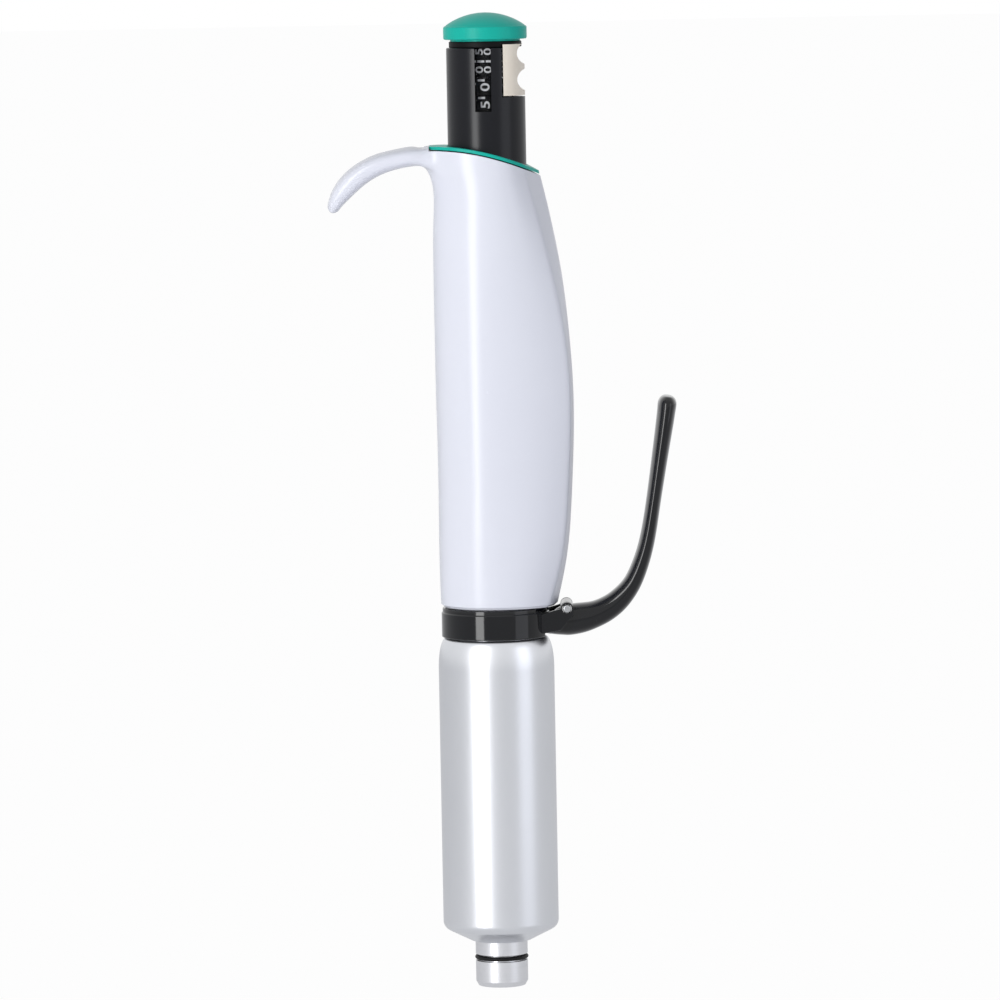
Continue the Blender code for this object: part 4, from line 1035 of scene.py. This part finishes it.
@dataclass
class Collar:
    """Black swivel collar, its pivot pin and the curved ejector lever."""

    ring_r: float = 12.4
    ring_wall: float = 1.0
    top: float = 87.7
    height: float = 6.75
    lip: float = 0.9
    lip_in: float = 0.25
    spigot_r: float = 9.3
    slot_drop: float = 1.2
    pivot_x: float = 16.4
    pivot_z: float = 87.5
    hub_r: float = 1.45
    hub_edge: float = 0.25
    pin_edge: float = 0.15
    pin_r: float = 0.8
    pin_head_r: float = 0.86
    pin_head: float = 0.6
    root_half: float = 4.8
    lug: float = 1.4
    lug_edge: float = 0.2
    fork_in_r: float = 7.2
    fork_out_r: float = 9.7
    fork_bottom: float = 83.4
    fork_top: float = 85.2
    fork_end_x: float = -1.0
    stem_half: float = 4.2
    section_points: int = 16
    squareness: float = 0.82
    arm: list[tuple[float, ...]] = field(default_factory=lambda: [
        # x, z, thickness, half width
        (11.9, 83.8, 4.8, 4.8),
        (13.6, 83.75, 5.4, 4.8),
        (16.2, 84.3, 7.0, 4.8),
        (19.8, 84.8, 6.9, 4.6),
        (23.0, 85.6, 6.1, 4.4),
        (25.9, 86.95, 5.6, 4.4),
        (28.8, 89.2, 5.0, 4.4),
        (31.7, 92.9, 4.2, 4.5),
        (34.0, 98.4, 3.75, 4.7),
        (35.5, 104.2, 3.5, 5.0),
        (36.85, 112.1, 3.4, 5.4),
        (38.35, 121.5, 3.7, 5.8),
        (39.7, 129.9, 4.1, 6.0),
        (40.25, 133.8, 4.3, 5.9),
    ])
    # Distance beyond the arm's end in thicknesses, shares of the thickness and of the width
    end_rounding: tuple[Point3, ...] = ((0.2, 0.9, 0.935), (0.34, 0.7, 0.805), (0.42, 0.4, 0.61))
    root_length: float = 0.8
    root_crease: float = 0.8

    def section(self, centre: Vector, along: Vector, thickness: float, half: float) -> list[Point3]:
        """A rounded section square to the lever's path.

        Args:
            centre: Its middle, as (x, z).
            along: The path's direction there, as (x, z).
            thickness: Its size across the path, in the XZ plane.
            half: Half of its width along Y.

        Returns:
            The ring of points.
        """
        points = []
        for i in range(self.section_points):
            angle = math.tau * i / self.section_points
            across = math.copysign(abs(math.cos(angle)) ** self.squareness, math.cos(angle)) * half
            out = math.copysign(abs(math.sin(angle)) ** self.squareness, math.sin(angle)) * thickness / 2
            points.append((centre.x - along.y * out, across, centre.y + along.x * out))
        return points

    def build_lever(self) -> None:
        """Builds the lever: a swept arm with a hub for the pin and a fork that pushes the sleeve."""
        rows = smooth_rows(self.arm, 2)
        path = [Vector((x, z)) for x, z, _, _ in rows]
        last = len(rows) - 1
        rings = []
        along = (path[1] - path[0]).normalized()
        for i, (_, _, thickness, half) in enumerate(rows):
            along = (path[min(i + 1, last)] - path[max(i - 1, 0)]).normalized()
            rings.append(self.section(path[i], along, thickness, half))
        thickness, half = rows[last][2:]
        for ahead, thin, narrow in self.end_rounding:
            centre = path[last] + along * thickness * ahead
            rings.append(self.section(centre, along, thickness * thin, half * narrow))
        lever = cage("polished_ejector_lever", rings)
        edit(lever)
        pick(lever, lambda p: p.x < self.arm[0][0] + self.root_length)
        bpy.ops.transform.edge_crease(value=self.root_crease)
        leave()
        subdivide_to_fit(lever, 3)
        hub = cross_rod("lever_hub", self.hub_r, self.pivot_x, self.pivot_z, self.root_half, self.hub_edge)
        combine(lever, hub, "UNION")
        fork = tube("lever_fork", self.fork_out_r, self.fork_in_r, self.fork_bottom, self.fork_top)
        behind = block("behind_fork", (-REACH, -REACH, 0), (self.fork_end_x, REACH, 2 * REACH))
        combine(fork, behind)
        stem = block(
            "lever_stem",
            (self.fork_in_r + 0.4, -self.stem_half, self.fork_bottom),
            (self.arm[0][0] + 2.0, self.stem_half, self.fork_top),
        )
        combine(fork, stem, "UNION")
        combine(lever, fork, "UNION")
        combine(lever, cross_rod("lever_pin_hole", self.pin_r + GAP, self.pivot_x, self.pivot_z, REACH))
        settle(smooth(lever), "lever", Slot.BLACK_GLOSS, "ejector_lever")

    def build(self) -> None:
        """Builds and dresses the collar, the pin and the lever."""
        bottom = self.top - self.height
        inner_r = self.ring_r - self.ring_wall
        lip_z = self.top - self.lip
        ring = lathe("polished_swivel_collar", rounded([
            (self.spigot_r + GAP, self.top),
            (self.ring_r - self.lip_in, self.top, 0.15),
            (self.ring_r - self.lip_in, lip_z, 0.06),
            (self.ring_r, lip_z - self.lip_in, 0.15),
            (self.ring_r, bottom, 0.3),
            (inner_r, bottom),
            (inner_r, lip_z),
            (self.spigot_r + GAP, lip_z),
        ]))
        lug_in = self.root_half + GAP
        lug_out = lug_in + self.lug
        for side in (-1, 1):
            lug = self.build_lug(side, lug_in, lug_out, inner_r, bottom)
            combine(ring, lug, "UNION")
        slot = block("collar_slot", (0, -lug_in, bottom - OVER), (REACH, lug_in, self.top - self.slot_drop))
        combine(ring, slot)
        combine(ring, cross_rod("collar_pin_hole", self.pin_r + GAP, self.pivot_x, self.pivot_z, REACH))
        settle(smooth(ring), "collar", Slot.BLACK_GLOSS, "swivel_collar")
        pin = cross_rod("pivot_pin_shaft", self.pin_r, self.pivot_x, self.pivot_z, lug_out, self.pin_edge)
        head = cross_rod("pin_head", self.pin_head_r, self.pivot_x, self.pivot_z, self.pin_head / 2, self.hub_edge)
        head.location.y = -(lug_out + self.pin_head / 2) * MM
        combine(pin, bake_place(head), "UNION")
        settle(smooth(pin), "collar", Slot.STEEL, "pivot_pin")
        self.build_lever()

    def build_lug(self, side: int, near: float, far: float, inner_r: float, bottom: float) -> Piece:
        """One of the collar's two ears for the pin, as a rounded plate.

        Args:
            side: -1 for the ear towards -Y, 1 for the other.
            near: Its inner face's distance from the middle.
            far: Its outer face's distance from the middle.
            inner_r: The collar's inner radius.
            bottom: The collar's lower edge.

        Returns:
            The ear.
        """
        corners = [
            (inner_r - 1.2, self.top - self.lip - 0.6),
            (inner_r - 1.2, bottom + 0.8),
            (self.pivot_x - self.hub_r, bottom + 1.6),
            (self.pivot_x + self.hub_r, self.pivot_z - self.hub_r),
        ]
        corners += [
            (self.pivot_x + self.hub_r * math.cos(a), self.pivot_z + self.hub_r * math.sin(a))
            for a in (math.pi * k / 24 for k in range(25))
        ]
        deselect()
        bpy.ops.mesh.primitive_circle_add(vertices=len(corners), radius=MM, fill_type="NGON")
        lug = fresh("collar_lug")
        order = sorted(lug.data.vertices, key=lambda vert: math.atan2(vert.co.y, vert.co.x))
        for vert, (x, z) in zip(order, corners):
            vert.co = Vector((x, side * near, z)) * MM
        edit(lug, everything=True)
        extrude(0, side * (far - near), 0)
        leave()
        return bevel(tidy_normals(lug), self.lug_edge)


@dataclass
class PlungerHead:
    """Black barrel with its window and lens, the ivory lock, the number drums and the button."""

    BAR: ClassVar[str] = "bar"

    barrel_r: float = 8.95
    bore_r: float = 6.5
    barrel_top: float = 216.1
    flange_r: float = 9.5
    flange: float = 2.0
    flange_top: float = 176.0
    drum_r: float = 6.2
    drum_bore_r: float = 4.3
    drum_height: float = 3.7
    ones_z: float = 201.3
    tenths_z: float = 205.3
    fine_z: float = 209.3
    fine_flange_r: float = 8.3
    fine_flange: float = 1.1
    fine_web: float = 1.5
    close_gap: float = 0.06
    spindle_r: float = 1.9
    window_left: float = -2.5
    window_right: float = 1.2
    window_bottom: float = 201.6
    lock_left: float = 4.0
    lock_bottom: float = 205.1
    lock_top: float = 216.8
    lock_rebate: float = 1.6
    scallop_r: float = 2.6
    scallop_floor: float = 7.2
    scallop_z: float = 214.6
    scallop_pitch: float = 6.0
    button_bottom: float = 217.95
    button_skirt_r: float = 8.0
    button_r: float = 9.55
    button_top_r: float = 9.1
    button_rim: float = 3.1
    button_dome: float = 3.0
    button_pocket: float = 2.9
    digit_height: float = 2.1
    small_digit_height: float = 1.75
    digit_spread: float = 1.35
    digit_x: float = -0.1
    fine_digit_x: float = 0.6
    bar_x: float = -1.05
    bar_half: float = 0.8
    bar_height: float = 0.5
    bar_drop: float = 0.3
    fine_digits_z: tuple[float, float] = (1.8, 5.9)
    fine_bar_z: float = 3.7
    ink_mm: float = 0.03
    band_mm: float = 0.31
    cut_play: float = 0.0000002
    font_scale: float = 1.38
    stroke_mm: float = 0.045
    dome_power: float = 1.8

    def ring_of_digits(self, name: str, labels: Iterable[tuple[str, float, float, float]]) -> Piece:
        """Prints numbers on a drum: they are laid out on an unrolled strip, which is then wrapped round the drum.

        Args:
            name: The piece's name.
            labels: Each number with its angle in degrees, its middle height and its size.

        Returns:
            The printed numbers, as one thin piece that reads from the bottom up.
        """
        deselect()
        made = []
        upright = Matrix(((0, -1, 0), (0, 0, -1), (1, 0, 0))).to_4x4()
        spread = Matrix.Diagonal((self.digit_spread, 1, 1, 1))
        for text, degrees, height, size in labels:
            place = Matrix.Translation((math.radians(degrees) * self.drum_r * MM, 0, height * MM))
            if text == self.BAR:
                corner = (self.bar_half, self.ink_mm, self.bar_height / 2)
                label = block("bar", tuple(-part for part in corner), corner)
                label.matrix_world = place
            else:
                bpy.ops.object.text_add(location=(0, 0, 0))
                label = bpy.context.object
                label.data.body = text
                label.data.align_x = "CENTER"
                label.data.align_y = "CENTER"
                label.data.size = size * self.font_scale * MM
                label.data.offset = self.stroke_mm * MM
                label.data.extrude = self.ink_mm * MM
                label.data.resolution_u = 5
                focus(label)
                bpy.ops.object.convert(target="MESH")
                label.matrix_world = place @ upright @ spread
            made.append(tidy_normals(bake_place(label)))
        deselect()
        for label in made:
            label.select_set(True)
        bpy.context.view_layer.objects.active = made[0]
        bpy.ops.object.join()
        strip = bpy.context.object
        strip.name = name
        return self.wrap(strip)

    def wrap(self, strip: Piece) -> Piece:
        """Cuts a flat strip into narrow upright bands and bends it round the drum.

        Args:
            strip: The strip, with its length along X and its outer side towards -Y.

        Returns:
            The strip.
        """
        reach = [vert.co.x / MM / self.band_mm for vert in strip.data.vertices]
        edit(strip)
        for k in range(math.ceil(min(reach)), math.floor(max(reach)) + 1):
            bpy.ops.mesh.select_all(action="SELECT")
            bpy.ops.mesh.bisect(plane_co=(k * self.band_mm * MM, 0, 0), plane_no=(1, 0, 0), threshold=self.cut_play)
        leave()
        for vert in strip.data.vertices:
            angle = vert.co.x / MM / self.drum_r
            radius = self.drum_r * MM - vert.co.y
            vert.co.x, vert.co.y = radius * math.sin(angle), -radius * math.cos(angle)
        return strip

    def build_drums(self) -> None:
        """Builds the three drums and their numbers, at 5.00 mL."""
        facing, fine_facing, bar_facing = (
            math.degrees(math.asin(x / self.drum_r)) for x in (self.digit_x, self.fine_digit_x, self.bar_x)
        )
        for body, name, bottom, shown in (
            ("ones_wheel", "ones", self.ones_z, 5),
            ("tenths_wheel", "tenths", self.tenths_z, 0),
        ):
            drum = tube(
                f"{name}_number_drum", self.drum_r, self.drum_bore_r, bottom, bottom + self.drum_height, 0.12
            )
            settle(smooth(drum), body, Slot.DRUM, f"{name}_drum")
            labels = [
                (str((shown - k) % 10), facing + 36 * k, bottom + self.drum_height * 0.5, self.digit_height)
                for k in range(10)
            ]
            bar_z = bottom + self.drum_height - self.bar_drop
            labels += [(self.BAR, bar_facing + 36 * k, bar_z, self.bar_height) for k in range(10)]
            digits = self.ring_of_digits(f"{name}_numbers", labels)
            settle(digits, body, Slot.HANDLE, finish=INK)
        flange_z = self.barrel_top + self.close_gap
        top = self.barrel_top + GAP + self.fine_flange
        drum = lathe("fine_number_drum", rounded([
            (self.spindle_r + GAP, top),
            (self.fine_flange_r, top, 0.2),
            (self.fine_flange_r, flange_z, 0.15),
            (self.drum_r, flange_z),
            (self.drum_r, self.fine_z, 0.12),
            (self.drum_bore_r, self.fine_z),
            (self.drum_bore_r, top - self.fine_web),
            (self.spindle_r + GAP, top - self.fine_web),
        ]))
        settle(smooth(drum), "knob", Slot.DRUM, "fine_drum")
        labels = []
        for k in range(20):
            number = f"{-5 * k % 100:02d}"
            angle = fine_facing + 18 * k
            for digit, z in zip(number, self.fine_digits_z):
                labels.append((digit, angle, self.fine_z + z, self.small_digit_height))
            labels.append((self.BAR, bar_facing + 18 * k, self.fine_z + self.fine_bar_z, self.bar_height))
        settle(self.ring_of_digits("fine_numbers", labels), "knob", Slot.HANDLE, finish=INK)

    def build_barrel(self) -> None:
        """Builds the barrel with its window and the bay for the lock, and the lens in the window."""
        barrel = lathe("satin_barrel", rounded([
            (self.bore_r, self.barrel_top),
            (self.barrel_r, self.barrel_top, 0.3),
            (self.barrel_r, self.flange_top),
            (self.flange_r, self.flange_top, 0.2),
            (self.flange_r, self.flange_top - self.flange, 0.2),
            (self.bore_r, self.flange_top - self.flange),
        ]))
        slot = block(
            "window_slot",
            (self.window_left, -REACH, self.window_bottom),
            (self.window_right, 0, self.barrel_top + OVER),
        )
        bay = block(
            "lock_bay",
            (self.lock_left - GAP, -REACH, self.lock_bottom - GAP),
            (REACH, REACH, self.barrel_top + OVER),
        )
        combine(barrel, slot)
        combine(barrel, bay)
        bevel(barrel, 0.18)
        settle(smooth(barrel), "plunger", Slot.BLACK_SATIN, "counter_housing")
        lens_bottom = self.window_bottom + GAP
        lens = tube("clear_window_lens", self.barrel_r - 0.1, self.bore_r + 0.1, lens_bottom, self.barrel_top - 0.2)
        sides = block(
            "lens_sides",
            (self.window_left + GAP, -REACH, 0),
            (self.window_right - GAP, 0, 5 * REACH),
        )
        combine(lens, sides, "INTERSECT")
        bevel(lens, 0.12, segments=2)
        settle(smooth(lens), "plunger", Slot.WINDOW, "window_lens")

    def build_lock(self) -> None:
        """Builds the lock: a curved ivory plate with two finger scallops and rounded edges."""
        lock = tube("scalloped_volume_lock", self.barrel_r, self.bore_r + 0.1, self.lock_bottom, self.lock_top)
        side = block("lock_side", (self.lock_left, -REACH, 0), (REACH, REACH, 5 * REACH))
        combine(lock, side, "INTERSECT")
        rebate = lathe("lock_rebate", [
            (self.fine_flange_r + GAP, self.lock_top - self.lock_rebate),
            (self.fine_flange_r + GAP, self.lock_top + OVER),
        ], closed=False)
        combine(lock, rebate)
        for i in range(2):
            groove = cross_rod(
                "lock_scallop",
                self.scallop_r,
                self.scallop_floor + self.scallop_r,
                self.scallop_z - i * self.scallop_pitch,
                REACH,
            )
            combine(lock, groove)
        bevel(lock, 0.28, segments=4, degrees=35)
        settle(smooth(lock), "lock", Slot.IVORY, "volume_lock")

    def build_button(self) -> None:
        """Builds the button: a near-vertical rim under a low dome."""
        rim_top = self.button_bottom + self.button_rim
        skirt_z = self.barrel_top + GAP + self.fine_flange + self.close_gap
        dome_steps = 22
        dome = []
        for i in range(1, dome_steps + 1):
            angle = math.pi / 2 * (i - 0.9) / dome_steps
            dome.append((
                self.button_top_r * math.sin(angle),
                rim_top + self.button_dome * math.cos(angle) ** self.dome_power,
            ))
        outline = dome + rounded([
            (self.button_top_r, rim_top),
            (self.button_r, rim_top - 0.25, 0.35),
            (self.button_r, self.button_bottom, 0.4),
            (self.button_skirt_r, self.button_bottom),
            (self.button_skirt_r, skirt_z),
            (self.spindle_r + GAP, skirt_z),
        ])[1:]
        outline.append((self.spindle_r + GAP, self.button_bottom + self.button_pocket))
        button = lathe("domed_push_button", outline, closed=False)
        settle(smooth(button), "knob", Slot.TEAL, "push_button")

    def build(self) -> None:
        """Builds and dresses the plunger head."""
        self.build_barrel()
        self.build_drums()
        self.build_lock()
        self.build_button()


@dataclass(frozen=True)
class Spring:
    """A compression spring: the wire's round section is swept along a helix, with a flat turn at each end."""

    node: str
    coil_r: float
    wire_r: float
    turns: int
    body: str
    joint: str
    travel: float
    steps: int = 40
    wire_sides: int = 14
    lead: float = 4.0
    closed_pitch: float = 2.1

    def build(self) -> None:
        """Winds the wire between the CAD spring's two ends."""
        bottom, top = (corner.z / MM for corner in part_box(self.node))
        low, high = bottom + self.wire_r, top - self.wire_r
        flat = self.closed_pitch * self.wire_r
        deselect()
        bpy.ops.mesh.primitive_circle_add(
            vertices=self.wire_sides, radius=self.wire_r * MM, location=(self.coil_r * MM, 0, 0),
            rotation=(math.pi / 2, 0, 0), fill_type="NOTHING",
        )
        wire = fresh(f"wound_{self.node}")
        steps = self.steps * self.turns
        modify(wire, "SCREW", angle=math.tau * self.turns, screw_offset=self.turns * self.lead * MM,
               steps=steps, render_steps=steps, use_smooth_shade=True)
        edit(wire, everything=True)
        bpy.ops.mesh.remove_doubles(threshold=MERGE / 2)
        bpy.ops.mesh.select_all(action="SELECT")
        bpy.ops.mesh.fill_holes(sides=0)
        leave()
        for vert in wire.data.vertices:
            turned = math.atan2(vert.co.y, vert.co.x) / math.tau
            rough = vert.co.z / MM
            turn = turned + round(rough / self.lead - turned)
            offset = rough - turn * self.lead
            turn = min(max(turn, 0.0), self.turns)
            if turn < 1:
                height = low + flat * turn
            elif turn > self.turns - 1:
                height = high - flat * (self.turns - turn)
            else:
                height = low + flat + (high - low - 2 * flat) * (turn - 1) / (self.turns - 2)
            vert.co.z = (height + offset) * MM
        tidy_normals(wire)
        settle(smooth(wire), self.body, Slot.SPRING, self.node)
        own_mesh(wire)


SPRINGS = (
    Spring("blowout_spring", 6.8, 0.8, 4, "root", "blowout_slide", 2.4),
    Spring("main_spring", 6.6, 0.55, 11, "blowout_stage", "plunger_slide", 14.7),
    Spring("ejector_spring", 8.9, 0.4, 4, "root", "sleeve_slide", 4.35),
)


class InnerWorks:
    """The CAD pieces that keep their own shape: they get the finish of their slot."""

    def build(self) -> None:
        """Dresses every CAD node that no piece stands for."""
        slots = {entry["node"]: Slot(entry["material_slot"]) for entry in frame["record"]["subparts"]}
        for name, node in frame["nodes"].items():
            if not node.hide_render:
                node.data.materials.clear()
                node.data.materials.append(material_of(FINISHES[slots[name]]))
                LOG.info("%s keeps its CAD shape, in %s", name, slots[name].value)


@dataclass(frozen=True)
class SoftBox:
    """An upright soft box that faces the pipette: azimuth in degrees from the camera's side, sizes in metres."""

    name: str
    azimuth: float
    distance: float
    width: float
    power: float
    colour: str
    middle: float = 0.16
    tall: float = 1.1
    aim_z: float = 0.11

    def build(self) -> None:
        """Hangs the lamp and turns it to the pipette."""
        light = bpy.data.lights.new(self.name, "AREA")
        light.shape = "RECTANGLE"
        light.size = self.width
        light.size_y = self.tall
        light.energy = self.power
        light.color = linear(self.colour)[:3]
        lamp = bpy.data.objects.new(self.name, light)
        bpy.context.scene.collection.objects.link(lamp)
        angle = math.radians(self.azimuth)
        lamp.location = (self.distance * math.sin(angle), -self.distance * math.cos(angle), self.middle)
        aim = Vector((0, 0, self.aim_z)) - lamp.location
        lamp.rotation_euler = aim.to_track_quat("-Z", "Y").to_euler()


@dataclass
class Studio:
    """Pale floor, white surroundings, soft boxes and the camera at the photograph's view.

    The floor's height and the sensor are in millimetres, other lengths in metres, pitch and roll in degrees. The
    last four fields are strengths of white: the world's even light, the world and the floor as mirrored in the
    pipette, and the floor as the camera sees it, where the rest of it takes the shadow.
    """

    floor_z: float = -90.0
    floor_size: float = 40.0
    distance: float = 1.6
    height: float = 0.2466
    offset: float = 0.00150
    pitch: float = 4.8
    roll: float = -1.05
    focal_px: float = 6990.0
    frame_px: float = 1000.0
    sensor: float = 36.0
    clip: tuple[float, float] = (0.05, 30.0)
    soft_boxes: tuple[SoftBox, ...] = (
        SoftBox("key_box", -34, 0.9, 0.28, 6.6, "#FFFFFF"),
        SoftBox("far_box", 58, 1.1, 0.6, 1.7, "#F2F5FF"),
    )
    fill: float = 0.42
    mirrored_white: float = 0.85
    floor_white: float = 0.97
    mirrored_floor: float = 0.45

    def surroundings(self) -> None:
        """Lights the world evenly and shows it white to the camera, in reflections and through glass."""
        world = bpy.data.worlds.new("studio_white")
        bpy.context.scene.world = world
        world.use_nodes = True
        tree = world.node_tree
        tree.nodes.clear()
        path = add_node(tree, "ShaderNodeLightPath").outputs
        seen = maths(tree, "MAXIMUM", path["Is Camera Ray"], path["Is Transmission Ray"])
        mirrored = maths(tree, "MULTIPLY", path["Is Glossy Ray"], self.mirrored_white)
        shown = maths(tree, "MAXIMUM", seen, mirrored)
        fill = add_node(tree, "ShaderNodeBackground", {"Color": linear("#F4F6FB"), "Strength": self.fill})
        white = add_node(tree, "ShaderNodeBackground", {"Color": (1, 1, 1, 1), "Strength": 1.0})
        shaders = {0: shown, 1: fill.outputs[0], 2: white.outputs[0]}
        blend = add_node(tree, "ShaderNodeMixShader", {}, shaders)
        add_node(tree, "ShaderNodeOutputWorld", {}, {"Surface": blend.outputs[0]})

    def floor(self) -> None:
        """Lays the pale floor well below the tip, so that its shadow stays soft."""
        deselect()
        bpy.ops.mesh.primitive_plane_add(size=self.floor_size, location=(0, 0, self.floor_z * MM))
        floor = fresh("studio_floor")
        made = bpy.data.materials.new("matt_white_card")
        made.use_nodes = True
        tree = made.node_tree
        tree.nodes.clear()
        grain = add_node(tree, "ShaderNodeTexNoise", {"Scale": 40.0, "Detail": 2.0}).outputs["Fac"]
        matt = add_node(tree, "ShaderNodeBsdfDiffuse", {}, {"Color": colour_mix(tree, "#FAFAFB", "#F6F6F8", grain)})
        white = add_node(tree, "ShaderNodeEmission", {"Color": (1, 1, 1, 1), "Strength": 1.0})
        path = add_node(tree, "ShaderNodeLightPath").outputs
        mirrored = maths(tree, "MULTIPLY", path["Is Glossy Ray"], self.mirrored_floor)
        through = maths(tree, "MAXIMUM", path["Is Transmission Ray"], mirrored)
        seen = maths(tree, "MAXIMUM", path["Is Camera Ray"], through)
        share = maths(tree, "MULTIPLY", seen, self.floor_white)
        shaders = {0: share, 1: matt.outputs[0], 2: white.outputs[0]}
        blend = add_node(tree, "ShaderNodeMixShader", {}, shaders)
        add_node(tree, "ShaderNodeOutputMaterial", {}, {"Surface": blend.outputs[0]})
        floor.data.materials.append(made)

    def camera(self) -> None:
        """Sets the camera where the photograph was taken from."""
        data = bpy.data.cameras.new("photograph_view")
        data.sensor_width = self.sensor
        data.lens = self.focal_px / self.frame_px * self.sensor
        data.clip_start, data.clip_end = self.clip
        camera = bpy.data.objects.new("photograph_view", data)
        bpy.context.scene.collection.objects.link(camera)
        tilt = Matrix.Rotation(math.radians(90 - self.pitch), 4, "X")
        roll = Matrix.Rotation(math.radians(self.roll), 4, "Z")
        camera.matrix_world = Matrix.Translation((self.offset, -self.distance, self.height)) @ tilt @ roll
        bpy.context.scene.camera = camera

    def build(self) -> None:
        """Sets up the studio."""
        self.surroundings()
        self.floor()
        for soft_box in self.soft_boxes:
            soft_box.build()
        self.camera()
        bpy.context.scene.view_settings.view_transform = "Standard"


def main() -> None:
    """Builds the studio and every sub-assembly, and reports each piece."""
    logging.basicConfig(level=logging.INFO, format="%(name)s: %(message)s")
    for sub_assembly in (Studio(), LowerEnd(), Handle(), Collar(), PlungerHead(), *SPRINGS, InnerWorks()):
        LOG.info("building %s", type(sub_assembly).__name__)
        sub_assembly.build()


if __name__ == "__main__":
    main()
